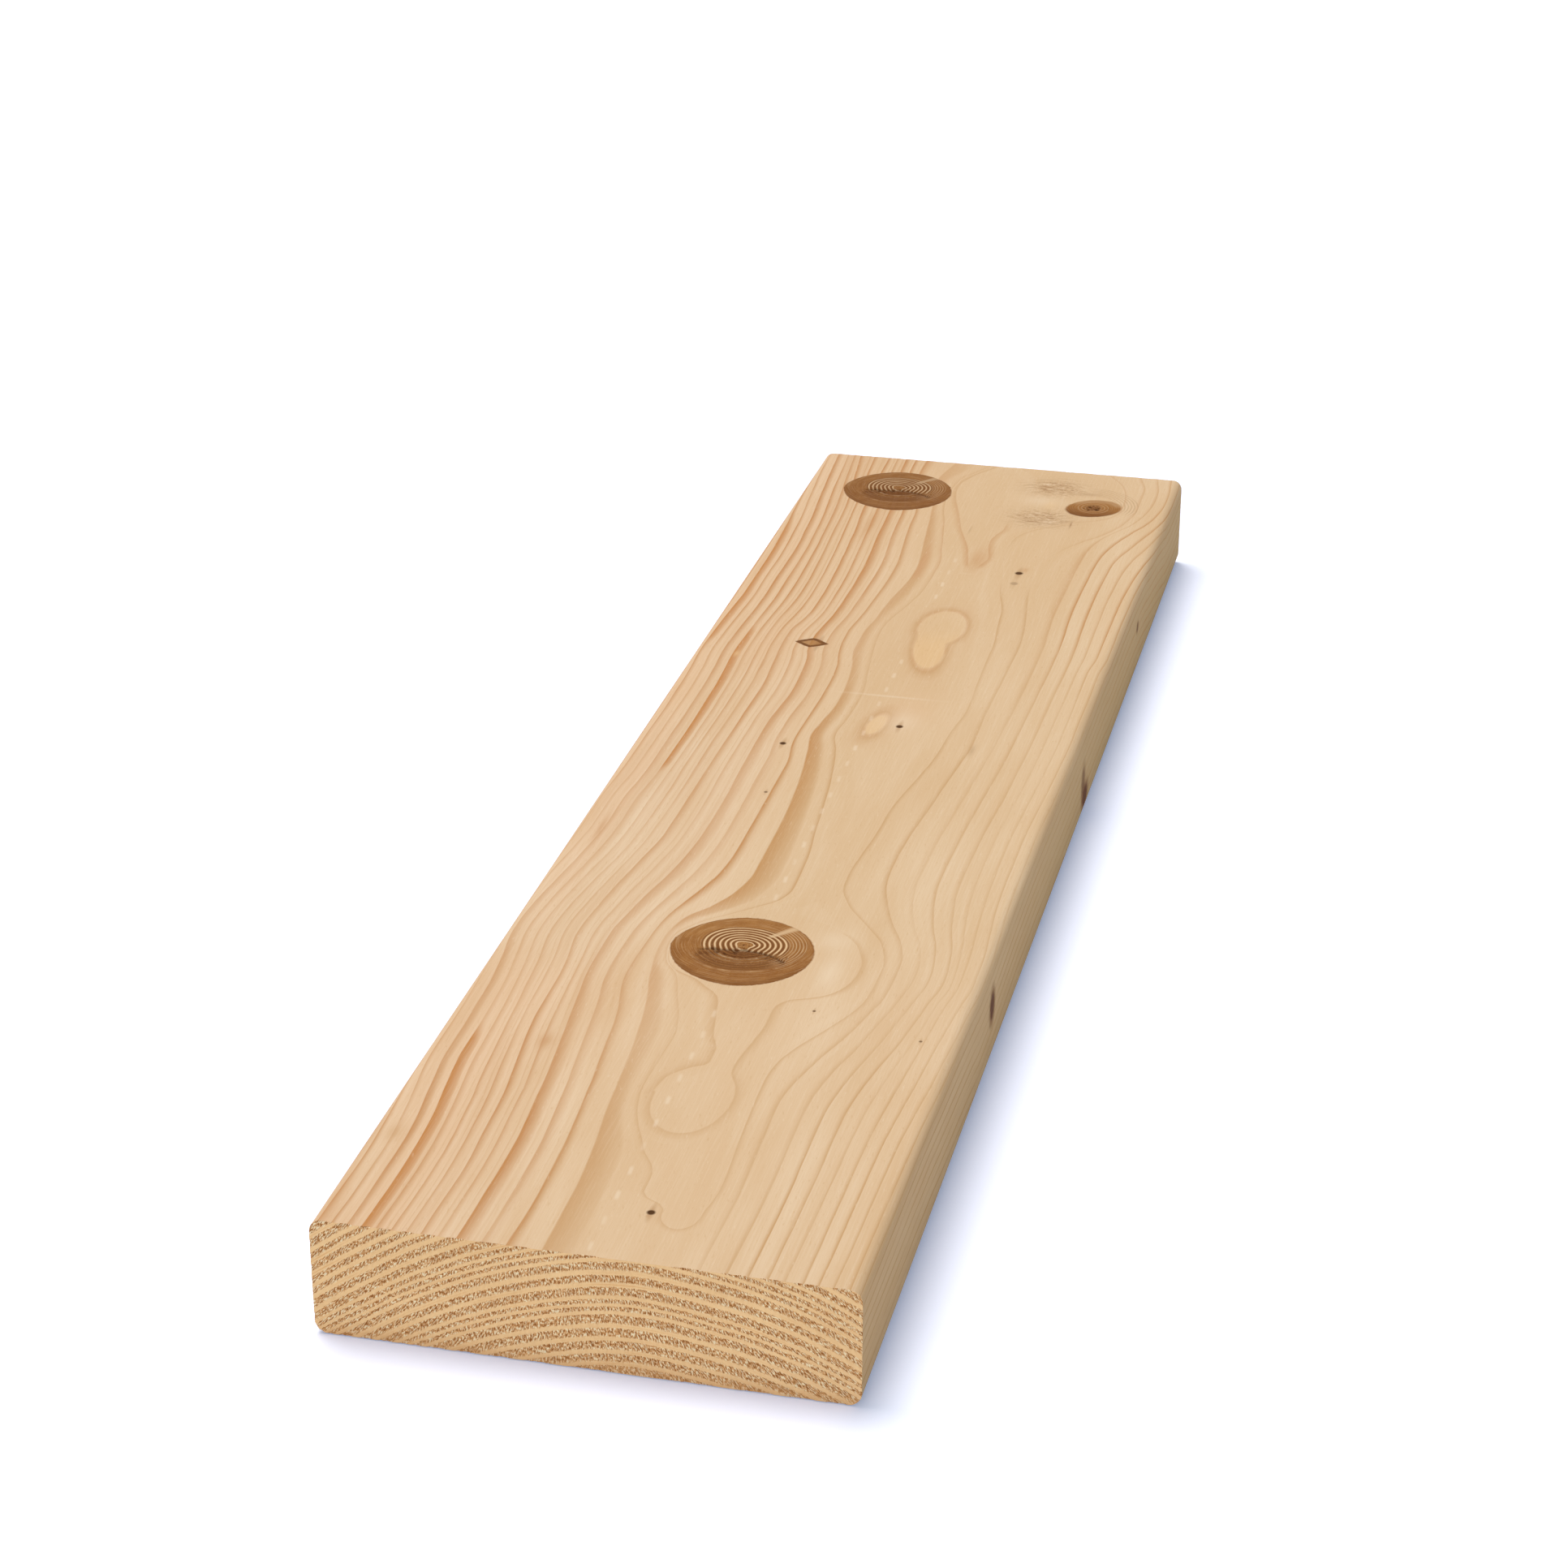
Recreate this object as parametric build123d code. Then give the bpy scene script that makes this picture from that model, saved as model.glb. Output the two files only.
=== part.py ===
from build123d import *
import os

# A short plank of planed and regularised softwood joist stock, sawn and planed from one piece of timber.
# It is one solid: a rectangular section whose four long corners are eased to an arc, cut off
# square at both ends. The ends keep sharp corners, because they are cut after the planing.
#
# Frame, in millimetres: X along the plank's length, Y across its width, Z up through its thickness.
# The origin is the middle of the wide face that the plank lies on.

# Driving sizes
plank_length = 825.0
plank_width = 200.0
plank_thickness = 47.0
eased_corner_radius = 5.0


def plank_section():
    """The sawn and planed cross-section, standing on the Y axis in the plane of the near end."""
    near_end_plane = Plane(origin=(-plank_length / 2, 0, 0), x_dir=(0, 1, 0), z_dir=(1, 0, 0))
    with BuildSketch(near_end_plane) as section:
        with Locations((0, plank_thickness / 2)):
            RectangleRounded(plank_width, plank_thickness, eased_corner_radius)
    return section.sketch


def plank():
    """The section carried straight along the plank's length, which leaves both ends cut square."""
    return extrude(plank_section(), amount=plank_length)


os.makedirs("parts", exist_ok=True)
export_step(plank(), "parts/plank.step")
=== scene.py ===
# The looks of a short planed softwood plank: a finer skin with sawn ends and relief in its knots,
# procedural planed and sawn finishes, and a studio stage. It is laid out as an add-on and run as a script.
#
# Places on the plank are written in millimetres: s runs from the near end to the far end, t runs
# across from the middle towards the right-hand edge, seen from the near end, and z runs up from the floor.
import math
from itertools import pairwise

import bmesh
import bpy
import numpy as np
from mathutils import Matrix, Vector


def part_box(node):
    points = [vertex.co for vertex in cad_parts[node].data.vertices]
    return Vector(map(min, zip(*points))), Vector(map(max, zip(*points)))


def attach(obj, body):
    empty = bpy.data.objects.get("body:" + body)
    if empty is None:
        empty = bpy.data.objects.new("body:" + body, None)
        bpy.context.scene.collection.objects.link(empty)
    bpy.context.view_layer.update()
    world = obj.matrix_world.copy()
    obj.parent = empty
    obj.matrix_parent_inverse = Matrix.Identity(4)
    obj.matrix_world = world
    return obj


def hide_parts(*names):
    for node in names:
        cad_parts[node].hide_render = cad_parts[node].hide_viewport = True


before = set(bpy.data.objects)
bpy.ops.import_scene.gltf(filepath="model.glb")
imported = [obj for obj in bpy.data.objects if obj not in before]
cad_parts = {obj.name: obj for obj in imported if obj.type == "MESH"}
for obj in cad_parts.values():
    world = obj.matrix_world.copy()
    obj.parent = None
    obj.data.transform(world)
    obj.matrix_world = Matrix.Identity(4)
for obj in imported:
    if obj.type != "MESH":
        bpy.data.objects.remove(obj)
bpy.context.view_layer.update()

bl_info = {
    "name": "Planed softwood plank",
    "version": (1, 0, 0),
    "blender": (4, 5, 0),
    "location": "3D Viewport > Sidebar > Timber",
    "description": "Dresses a packed plank with knotty planed softwood and sawn end grain",
    "category": "Object",
}

MM = 0.001
SEED = 47
WOOD_SHINE = 0.03
PLANK_LOW, PLANK_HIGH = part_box("plank")
LENGTH = (PLANK_HIGH.x - PLANK_LOW.x) / MM
WIDTH = (PLANK_HIGH.y - PLANK_LOW.y) / MM
THICKNESS = (PLANK_HIGH.z - PLANK_LOW.z) / MM

# Lines of latewood on the top face: ring number, then its (s, t) points.
# The rings are counted outwards from the pale heart zone in the middle of the face.
LEFT_LINES = {
    0: [(0, -14.3), (43, -14.6), (71, -16.4), (100, -19.3), (129, -21.4), (157, -23.5), (186, -27.9),
        (206, -32), (235, -34.5), (252, -32), (270, -22), (286, -15.7), (306, -12.9), (330, -13.1),
        (363, -13.6), (392, -15), (430, -19.3), (448, -21.5), (462, -20.2), (484, -18), (512, -18.6),
        (531, -20.7), (550, -24), (572, -24.3), (591, -22.1), (618, -20), (640, -17.1), (661, -15.9),
        (683, -17.4), (704, -20), (733, -22.9), (756, -25.7), (790, -31), (825, -26)],
    1: [(0, -27.1), (29, -26.3), (57, -26.7), (86, -27.9), (114, -30), (143, -32.9), (171, -35.7),
        (206, -41), (235, -40), (256, -37.9), (270, -34.3), (285, -30.3), (299, -27.1), (330, -25.2),
        (412, -25.2), (441, -27.9), (470, -27.1), (498, -26.5), (527, -27.3), (548, -30.7), (572, -31.7),
        (591, -30), (618, -28.1), (662, -26.9), (690, -28.9), (719, -31.4), (747, -33), (790, -42),
        (825, -43)],
    3: [(0, -45.7), (57, -44.7), (100, -47.1), (143, -50.7), (171, -53.6), (206, -56.6), (235, -56.9),
        (256, -54.3), (278, -50.7), (299, -46.9), (328, -43.8), (363, -43.1), (412, -44.2), (455, -44.3),
        (477, -42.9), (492, -41.6), (512, -42.1), (534, -43.6), (547, -46), (562, -46.4), (575, -45.4),
        (591, -43.6), (618, -42.6), (647, -42.1), (676, -43.1), (704, -45), (743, -46.4), (790, -52),
        (825, -54)],
    5: [(0, -58.6), (43, -57.6), (71, -58.6), (100, -60), (129, -63.1), (157, -65.7), (206, -67),
        (235, -70), (263, -68), (299, -63.6), (330, -59.6), (412, -58.6), (455, -57.9), (498, -57.1),
        (527, -58.6), (548, -59.8), (568, -59.4), (582, -56.8), (598, -54.8), (618, -54.6), (662, -56),
        (704, -57.9), (743, -61), (790, -63), (825, -64)],
    7: [(0, -69.3), (43, -68.3), (86, -69.7), (121, -72.9), (143, -74.3), (186, -77.1), (206, -78.6),
        (235, -81), (256, -80), (278, -77.1), (306, -73.1), (330, -70.9), (363, -69.7), (412, -69.3),
        (455, -68.3), (498, -67.9), (531, -68.9), (555, -69.7), (577, -68.9), (598, -66.9), (618, -66),
        (662, -66.9), (704, -68.9), (747, -71.1), (780, -75), (825, -80)],
    9: [(0, -80.3), (43, -79.2), (71, -80.1), (100, -82.8), (124, -85), (157, -85.3), (186, -86.4),
        (206, -88.2), (235, -91.1), (256, -89.7), (278, -87.1), (306, -83.4), (330, -81.4), (363, -81.2),
        (385, -79.6), (412, -78.8), (484, -78.3), (512, -79), (537, -80.2), (555, -79.6), (584, -78.2),
        (618, -77), (662, -77), (704, -78), (733, -80), (775, -83.5), (825, -87)],
}
RIGHT_LINES = {
    0: [(0, 42.9), (29, 43.6), (57, 44.3), (86, 43.6), (114, 42.9), (129, 44.3), (150, 49.3),
        (171, 55.7), (193, 61), (206, 64), (228, 65), (249, 62.5), (270, 54.3), (285, 49.3), (306, 44.5),
        (328, 43.6), (349, 44.6), (370, 46.4), (412, 50), (434, 52.1), (455, 53.4), (484, 53.1),
        (541, 54), (570, 54.3), (591, 53.2), (618, 50), (647, 46.4), (680, 46), (704, 53), (719, 61),
        (735, 72), (755, 80), (776, 83), (800, 83), (825, 78)],
    1: [(0, 52.9), (57, 54), (100, 53.6), (121, 54), (143, 57.1), (164, 62.1), (186, 66.4), (206, 70.2),
        (228, 72.6), (249, 70), (270, 63.6), (292, 58.8), (313, 57), (335, 57.1), (363, 58.3),
        (412, 61.2), (441, 62.9), (484, 64.6), (527, 65.7), (570, 66), (618, 64.3), (662, 65),
        (690, 65.7), (712, 67.1), (726, 70.7), (740, 77.1), (754, 84.3), (776, 89.3), (797, 90.7),
        (825, 87)],
    3: [(0, 67.1), (57, 68.4), (114, 68.8), (143, 72.1), (171, 77.1), (206, 81.8), (225, 84.7),
        (249, 82.9), (278, 77.9), (313, 74.6), (349, 75), (412, 78.2), (470, 79.7), (527, 80.7),
        (570, 81.4), (618, 80.3), (676, 81.1), (697, 82.9), (719, 88.6), (747, 96.4), (776, 102),
        (825, 103)],
    5: [(0, 79.3), (57, 80.3), (114, 82.1), (143, 84.3), (171, 86.2), (206, 89), (225, 90.9),
        (249, 90.7), (270, 89.3), (313, 87.4), (349, 87.3), (412, 89.6), (470, 91.4), (548, 91.6),
        (567, 93.4), (618, 93.6), (662, 95), (690, 97.9), (720, 104), (776, 110), (825, 111)],
}
HEART_LEFT = [(0, 24), (22, 24), (30, 22.6), (38, 18.6), (41, 13.8), (45, 10.4), (57, 10), (64, 7.9),
    (71, 3.6), (80, 0), (93, -5), (107, -8.6), (121, -10), (143, -9.3), (157, -8.7), (171, -10.7),
    (189, -15.7), (206, -20.5), (220, -28.5), (235, -30.5), (250, -25), (263, -12.9), (273, -2.9),
    (283, 5), (293, 7.3), (306, 7.1), (328, 6), (349, 3.6), (378, 1.4), (412, -2.7), (434, -6.4),
    (452, -10.1), (470, -8.6), (498, -8.3), (512, -9.3), (534, -12.1), (555, -14.3), (577, -15.4),
    (591, -14.3), (618, -8.6), (636, -5.6), (669, -5), (697, -8.6), (719, -12.1), (733, -14.3),
    (754, -18.6), (775, -20), (800, -18), (812, -12), (825, -6)]
HEART_RIGHT = [(0, 31), (22, 31), (28, 32), (35, 34), (57, 36.2), (80, 34.8), (100, 33.9), (129, 33.1),
    (143, 34), (157, 37.9), (179, 48.2), (193, 54.1), (206, 57), (228, 57.6), (249, 53.6), (262, 46.5),
    (270, 40.7), (285, 31.4), (299, 26.6), (310, 26.3), (328, 27.4), (349, 29.3), (378, 30.7),
    (412, 35.4), (434, 38.6), (470, 40.7), (490, 42.9), (541, 41.4), (570, 41.1), (598, 38.6),
    (618, 36.6), (640, 32.1), (662, 29.3), (683, 25.7), (697, 24.6), (716, 25.7), (727, 30), (745, 50),
    (775, 74), (800, 72), (825, 60)]
HEART_TIP = (33.5, 27.2, 9.5, 6.8, 0.0)
# The inner swelling that runs from the oval past the first large knot: its left and right borders.
FUNNEL_LEFT = [(120, -4.6), (126, -3.5), (132, 1), (137, 7), (142, 10), (150, 10), (162, 6), (180, 2.5),
    (192, 0), (200, -7), (206, -13), (215, -26), (235, -32), (250, -27), (258, -16), (264, 5), (268, 14)]
FUNNEL_RIGHT = [(120, 23.7), (126, 23), (132, 20), (140, 19), (150, 20), (162, 21.7), (175, 23),
    (187, 22.8), (194, 25), (200, 35), (207, 43.7), (217, 48), (228, 49), (242, 45.9), (253, 39.6),
    (261, 28.6), (268, 14)]
FUNNEL_SPAN = (116, 268)
# The swelling that opens in a V towards the far end.
VEE_LEFT = [(660, 11.6), (668, 11.2), (678, 9.2), (688, 7.2), (698, 5), (712, 0.6), (726, -4),
    (742, -7.6), (758, -12), (770, -15), (788, -17), (804, -13), (820, -4), (825, -1)]
VEE_RIGHT = [(660, 12), (668, 13.2), (676, 15.2), (686, 17.2), (698, 15.4), (710, 14.2), (720, 15.6),
    (730, 18), (742, 18), (760, 24), (790, 26), (810, 20), (825, 10)]
VEE_TIP = 667
VEE_STAIN = (683, 13, 15, 4.5)
# Closed loops in the heart zone: s, t, half length, half width, drift of t along s.
OVAL = (113, 10.3, 25.0, 14.6, 0.0)
SMALL_ISLAND = (465.6, 5.4, 13.6, 4.6, 0.1)
LARGE_ISLAND = ((560, 11.6, 26.5, 8.4, -0.12), (588, 12.6, 23.0, 12.4, 0.0))

# The arches on a sawn end: how far each has dropped at (t, drop), and the heights at their crown where each
# smooth band of latewood starts and stops.
ARCH_DROP = [(-100, 53.2), (-92, 47), (-65, 28.7), (-45, 17.8), (-30, 11.2), (-15, 6.1), (0, 2.2),
    (10, 0.6), (20, 0), (30, 0.7), (45, 3.0), (60, 5.9), (80, 12.2), (97, 20.4), (100, 22)]
SMOOTH_BANDS = [(-1.3, 0.3), (3.8, 5.2), (8.7, 10.2), (14, 15.6), (19.4, 21), (25, 26.3), (28.2, 29.4),
    (31.2, 32.6), (36.3, 38), (41.2, 43.1), (46.6, 48), (49.8, 50.9), (53, 54.1), (56.4, 57.8),
    (61.5, 63.3), (66.9, 68.9), (71.6, 73.4), (76.3, 78.3), (81.6, 83.5), (86.3, 88.1), (92, 93.6),
    (98, 100)]
SMOOTH_SHARE = 0.3

# Places in the skin's list of finishes: plain faces, sawn ends, one for each knot's patch, the underside.
PLAIN_FINISH = 0
END_FINISH = 1
FIRST_KNOT_FINISH = 2
UNDERSIDE_FINISH = 5

# The mesh: steps round a corner's arc, the width of the strip that joins an end to the faces, and the angle
# from which an edge stays sharp.
END_ARC_STEPS = 9
BODY_ARC_STEPS = 7
END_MARGIN = 3.0
SHARP_ANGLE = math.radians(48)

# Ring spacing beyond the last guide line and down the edges, and how far sideways a guide can run.
RING_WIDTH = 5.6
RING_DEPTH = 5.2
GUIDE_REACH = 120

# How strongly single lines show along the plank, as (s, share) points.
LEFT_SHOW = [(0, 0.64), (110, 0.64), (170, 0.55), (235, 0.45), (330, 0.4), (400, 0.5), (540, 0.65),
    (580, 0.9), (640, 1), (760, 1), (825, 0.85)]
RIGHT_SHOW = [(0, 0.85), (120, 0.75), (206, 0.45), (420, 0.45), (560, 0.75), (620, 1), (740, 1), (825, 0.6)]
HEART_SHOW = [(0, 0.3), (30, 0.55), (60, 0.5), (150, 0.46), (250, 0.5), (440, 0.6), (640, 0.6), (825, 0.45)]
HEART_LEFT_SHOW = [(0, 0.5), (250, 0.45), (300, 0.8), (420, 0.75), (470, 0.5), (825, 0.55)]
RING_SHOW = [(0, 1), (1, 1), (2, 0.55), (3, 0.8), (4, 0.5), (5, 0.8), (6, 0.55), (7, 0.6), (8, 0.5),
    (9, 0.5), (10, 0.7), (11, 0.55), (12, 0.75), (13, 0.6), (14, 0.8), (15, 0.6), (16, 0.7)]
FIRST_LEFT_SHOW = [(0, 0.7), (60, 0.7), (110, 0.6), (160, 0.5), (262, 0.7), (290, 1), (420, 1),
    (480, 0.85), (560, 0.6), (690, 0.7), (825, 0.4)]
SECOND_LEFT_SHOW = [(0, 1), (120, 0.8), (200, 0.5), (265, 0.8), (290, 1), (400, 1), (500, 0.95),
    (600, 0.8), (825, 0.8)]
FIRST_RIGHT_SHOW = [(0, 0.33), (150, 0.5), (200, 0.4), (270, 0.45), (320, 0.65), (430, 0.65), (500, 0.4),
    (600, 0.6), (640, 0.4), (665, 0.0), (700, 0.1), (730, 0.4), (825, 0.4)]
NINTH_SHOW = [(0, 1), (130, 0.95), (160, 0.25), (380, 0.2), (405, 0.85), (540, 1), (575, 0.45),
    (690, 0.3), (825, 0.0)]
TWELFTH_SHOW = [(0, 0.0), (520, 0.1), (565, 0.95), (690, 0.95), (730, 0.2), (825, 0.1)]

# Large knots: s, t, and how much darker than the first.
LARGE_KNOTS = ((232.6, -0.7, 0.0), (773.9, -48.6, 0.31))
LARGE_KNOT_RADIUS = 29.6
LARGE_KNOT_PITH = (5.3, 0.0)
LARGE_KNOT_SQUASH = (0.93, 1.06)
LARGE_KNOT_RING = 2.07
LARGE_KNOT_PHASE = 3.574
# From its middle: the line of its crack, and the s, t and size of its holes.
LARGE_KNOT_CRACK = ((-1.5, -17), (0.5, -12), (0.2, -6), (1.6, 0), (1.2, 7), (-1.5, 14), (-5, 19))
LARGE_KNOT_HOLES = ((0.9, -11.6, 0.9), (-1.8, -9.4, 0.8), (2.2, 1.7, 0.9), (-0.7, -2.2, 0.9),
    (2.9, -2.6, 0.6), (5.4, -0.3, 0.5), (7.6, 3.8, 0.45), (-1.6, 19.6, 0.6), (-5.4, 17.8, 0.8),
    (-3.0, -6.0, 0.6))
SMALL_KNOT = (771.3, 59.5)
SMALL_KNOT_AXES = (15.4, 12.5)
SMALL_KNOT_TURN = math.radians(58)
SMALL_KNOT_HOLES = ((1.9, -1.9, 0.9), (-0.8, 1.9, 1.2), (1.6, 2.6, 0.6), (-2.2, -2.6, 0.8),
    (-0.2, -5.2, 0.6), (1.0, 8.2, 0.5), (2.6, -4.6, 0.5))
SMALL_KNOT_PATCH = (737, 811, 20, 78)
# The torn grain: the centre of its arcs, the ellipse of each of its two sides, and the centre of the rings
# round the knot.
TORN_CENTRE = (774, 34)
TORN_SIDE = (24, 35, 11, 14)
WRAP_CENTRE = (775, 56)
# Pin knots: s, t, radius, how dark.
PIN_KNOTS = ((32.4, 16.4, 1.8, 1.0), (435.1, -31.7, 1.7, 1.0), (465.8, 16.4, 1.9, 1.0),
    (668.75, 36.9, 2.3, 1.0), (654.2, 36.9, 2.3, 0.3), (382.3, -26.9, 1.0, 0.7), (190.0, 39.3, 0.8, 0.8),
    (175.7, 84.7, 0.8, 0.7))
# Knots on the right-hand edge: s, z, half length, half height, how dark.
EDGE_KNOTS = ((248.4, 26.0, 5.0, 7.0, 1.0), (491.5, 9.5, 8.0, 5.5, 1.0), (485.5, 19.0, 5.0, 8.0, 0.55),
    (660.5, 26.5, 3.2, 2.8, 0.7))
DIAMOND_KNOT = (554.5, -45.6, 5.8, 8.2)
# Stains and smudges: s, t, half length, half width, strength, and the name of the colour.
SMUDGES = ((64, -90, 7, 4, 0.35, "right_line"), (143, -56, 7, 4, 0.42, "left_line"),
    (533, -78, 4, 1.6, 0.6, "honey_wood"), (521, -62.5, 10, 0.8, 0.35, "left_line"),
    (447, 54, 7, 1.6, 0.35, "torn_grain"), (484, 18, 24, 15, 0.24, "pink_wood"),
    (471, 16, 13, 10, 0.3, "bleached"), (499, 4, 1.3, 24, 0.3, "bleached"),
    (777, 31, 9, 12, 0.28, "bleached"), (771, 36, 10, 4, 0.3, "honey_wood"),
    (744, 51.5, 5, 0.6, 0.6, "knot_rim"), (792, 53, 3, 8, 0.35, "torn_grain"),
    (222, 38, 16, 5, 0.35, "bleached"), (250, 34, 10, 8, 0.3, "bleached"),
    (8, -95, 30, 2.5, 0.4, "left_line"), (60, -99, 30, 3, 0.35, "left_line"),
    (330, -88, 16, 1.6, 0.45, "left_line"), (720, -52, 26, 3.5, 0.35, "left_line"),
    (673.5, 39.5, 4, 1.6, 0.35, "left_line"), (724, 1, 6, 0.7, 0.3, "torn_grain"))
# Places where the feed roller pressed the surface, along one line.
ROLLER_LINE = 1.7
ROLLER_PITCH = 17.25
ROLLER_FIRST = 6.4
ROLLER_SPANS = ((0, 186), (272, 408), (410, 545), (620, 686))

# The studio: the floor is this far below the plank, the lights come from these directions, and the
# camera stands and looks as the picture's did. In metres.
FLOOR_GAP = 0.0003
KEY_FROM = (0.22, 0.255, 1.0)
FRONT_FROM = (-1.0, 0.1, 0.06)
FRONT_SPREAD = math.radians(60)
CAMERA_PLACE = (-1.40142, -0.30776, 0.70796)
CAMERA_VIEW = (0.88193, 0.20991, -0.42204)
CAMERA_LENS = 80.613


class Field:
    """A number that varies over the surface. Arithmetic on it adds Math nodes to its tree."""

    def __init__(self, tree, socket):
        self.tree = tree
        self.socket = socket

    def __add__(self, other):
        return calculate("ADD", self, other)

    def __radd__(self, other):
        return calculate("ADD", other, self)

    def __sub__(self, other):
        return calculate("SUBTRACT", self, other)

    def __rsub__(self, other):
        return calculate("SUBTRACT", other, self)

    def __mul__(self, other):
        return calculate("MULTIPLY", self, other)

    def __rmul__(self, other):
        return calculate("MULTIPLY", other, self)

    def __truediv__(self, other):
        return calculate("DIVIDE", self, other)

    def __pow__(self, other):
        return calculate("POWER", self, other)

    def __neg__(self):
        return calculate("MULTIPLY", self, -1.0)

    def __abs__(self):
        return calculate("ABSOLUTE", self)


class Coat:
    """A colour built up in layers: names of colour settings, colour sockets or other coats."""

    def __init__(self, palette, start):
        self.palette = palette
        self.colour = self.find(start)

    def find(self, layer):
        """The colour that a layer stands for."""
        if isinstance(layer, str):
            return (*getattr(self.palette, layer), 1.0)
        return layer.colour if isinstance(layer, Coat) else layer

    def lay(self, layer, factor):
        """Covers what is there with a layer, to the share that factor gives."""
        self.colour = paint(self.colour, factor, self.find(layer))


def put(tree, slot, value):
    """Gives a node's input a Field, a socket, or a plain number or colour."""
    if isinstance(value, Field):
        value = value.socket
    if isinstance(value, bpy.types.NodeSocket):
        tree.links.new(value, slot)
    else:
        slot.default_value = value


def add_node(tree, kind, *values, **options):
    """A new node with these options, and with these values at its inputs in order."""
    node = tree.nodes.new("ShaderNode" + kind)
    for name, option in options.items():
        setattr(node, name, option)
    for slot, value in zip(node.inputs, values):
        put(tree, slot, value)
    return node


def tree_of(*values):
    """The node tree that the first Field among these values is in."""
    return next(value.tree for value in values if isinstance(value, Field))


def calculate(operation, *values, clamp=False):
    """One Math node on these values, of which at least one is a Field."""
    tree = tree_of(*values)
    node = add_node(tree, "Math", *values, operation=operation, use_clamp=clamp)
    return Field(tree, node.outputs[0])


def lowest(first, *others):
    """The lowest of these values."""
    for other in others:
        first = calculate("MINIMUM", first, other)
    return first


def highest(first, *others):
    """The highest of these values."""
    for other in others:
        first = calculate("MAXIMUM", first, other)
    return first


def share(value):
    """The value, held between 0 and 1."""
    return calculate("ADD", value, 0.0, clamp=True)


def rise(value, low, high):
    """0 below low, 1 above high, and an even slope between them."""
    return calculate("DIVIDE", value - low, high - low, clamp=True)


def sine(value):
    """The sine of an angle in radians."""
    return calculate("SINE", value)


def wave(value, pitch):
    """A wave from 0 to 1 that repeats once each pitch."""
    return sine(value * (math.tau / pitch)) * 0.5 + 0.5


def ceiling(value):
    """The next whole number up."""
    return calculate("CEIL", value)


def radial(a, b):
    """How far a point lies from a centre, by its two offsets."""
    return calculate("SQRT", a * a + b * b)


def bell(a, b, steepness=1):
    """1 at a centre and fading to 0 round it, by two offsets."""
    return calculate("EXPONENT", (a * a + b * b) * -steepness)


def spot(s, t, place, steepness=1):
    """A soft ellipse, 1 at its centre. Its place is s, t, half length and half width."""
    centre_s, centre_t, half_length, half_width = place
    along = (s - centre_s) / half_length
    across = (t - centre_t) / half_width
    return bell(along, across, steepness)


def ease(value, low, high):
    """0 below low, 1 above high, and a smooth S between them."""
    node = add_node(value.tree, "MapRange", value, low, high, interpolation_type="SMOOTHSTEP")
    return Field(value.tree, node.outputs["Result"])


def window(value, low, high, soft):
    """1 between low and high, and fading to 0 over soft on each side."""
    return lowest(ease(value, low - soft, low), 1 - ease(value, high, high + soft))


def guide(value, points, low=-GUIDE_REACH, high=GUIDE_REACH, span=LENGTH):
    """A smooth curve through given points, held by one Float Curve node."""
    place = value / span
    node = add_node(value.tree, "FloatCurve")
    curve = node.mapping.curves[0]
    while len(curve.points) < len(points):
        curve.points.new(0.5, 0.5)
    for point, (along, result) in zip(curve.points, points):
        point.location = (along / span, (result - low) / (high - low))
        point.handle_type = "AUTO_CLAMPED"
    node.mapping.update()
    put(value.tree, node.inputs["Value"], place)
    return Field(value.tree, node.outputs["Value"]) * (high - low) + low


def show(value, points, span=LENGTH):
    """A share from 0 to 1 that changes along a value, at first along the plank."""
    return guide(value, points, 0.0, 1.0, span)


def noise(x, y, z, detail=2.0, roughness=0.5):
    """Soft noise of about -0.5 to 0.5, whose grains are one unit of x, y and z."""
    tree = tree_of(x, y, z)
    place = add_node(tree, "CombineXYZ", x, y, z)
    node = tree.nodes.new("ShaderNodeTexNoise")
    settings = {"Scale": 1.0, "Detail": detail, "Roughness": roughness, "Vector": place.outputs[0]}
    for name, value in settings.items():
        put(tree, node.inputs[name], value)
    return Field(tree, node.outputs["Fac"]) - 0.5


def lot(value):
    """A random share, the same wherever the value is the same."""
    node = add_node(value.tree, "TexWhiteNoise", noise_dimensions="1D")
    put(value.tree, node.inputs["W"], value)
    return Field(value.tree, node.outputs["Value"])


def paint(under, factor, over):
    """The colour under, covered by the colour over to the share that factor gives."""
    node = add_node(factor.tree, "Mix", data_type="RGBA")
    sockets = {slot.identifier: slot for slot in [*node.inputs, *node.outputs]}
    for name, value in (("Factor_Float", factor), ("A_Color", under), ("B_Color", over)):
        put(factor.tree, sockets[name], value)
    return sockets["Result_Color"]


def in_group(work, *values):
    """Builds part of a finish in a node group of its own, which keeps the renderer's load of values small.
    It gives what work gives, as seen from outside the group."""
    tree = tree_of(*values)
    inner = bpy.data.node_groups.new(work.__name__, "ShaderNodeTree")
    entry = inner.nodes.new("NodeGroupInput")
    passed = [value for value in values if isinstance(value, (Field, bpy.types.NodeSocket))]
    for value in passed:
        add_group_socket(inner, "INPUT", value)
    sockets = iter(entry.outputs)
    stand_ins = [stand_in(inner, next(sockets), value) if value in passed else value for value in values]
    results = work(*stand_ins)
    several = results if isinstance(results, tuple) else (results,)
    for result in several:
        add_group_socket(inner, "OUTPUT", result)
    exit_node = inner.nodes.new("NodeGroupOutput")
    for slot, result in zip(exit_node.inputs, several):
        put(inner, slot, result)
    holder = add_node(tree, "Group", *passed, node_tree=inner)
    outside = tuple(stand_in(tree, socket, result) for socket, result in zip(holder.outputs, several))
    return outside if isinstance(results, tuple) else outside[0]


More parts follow.
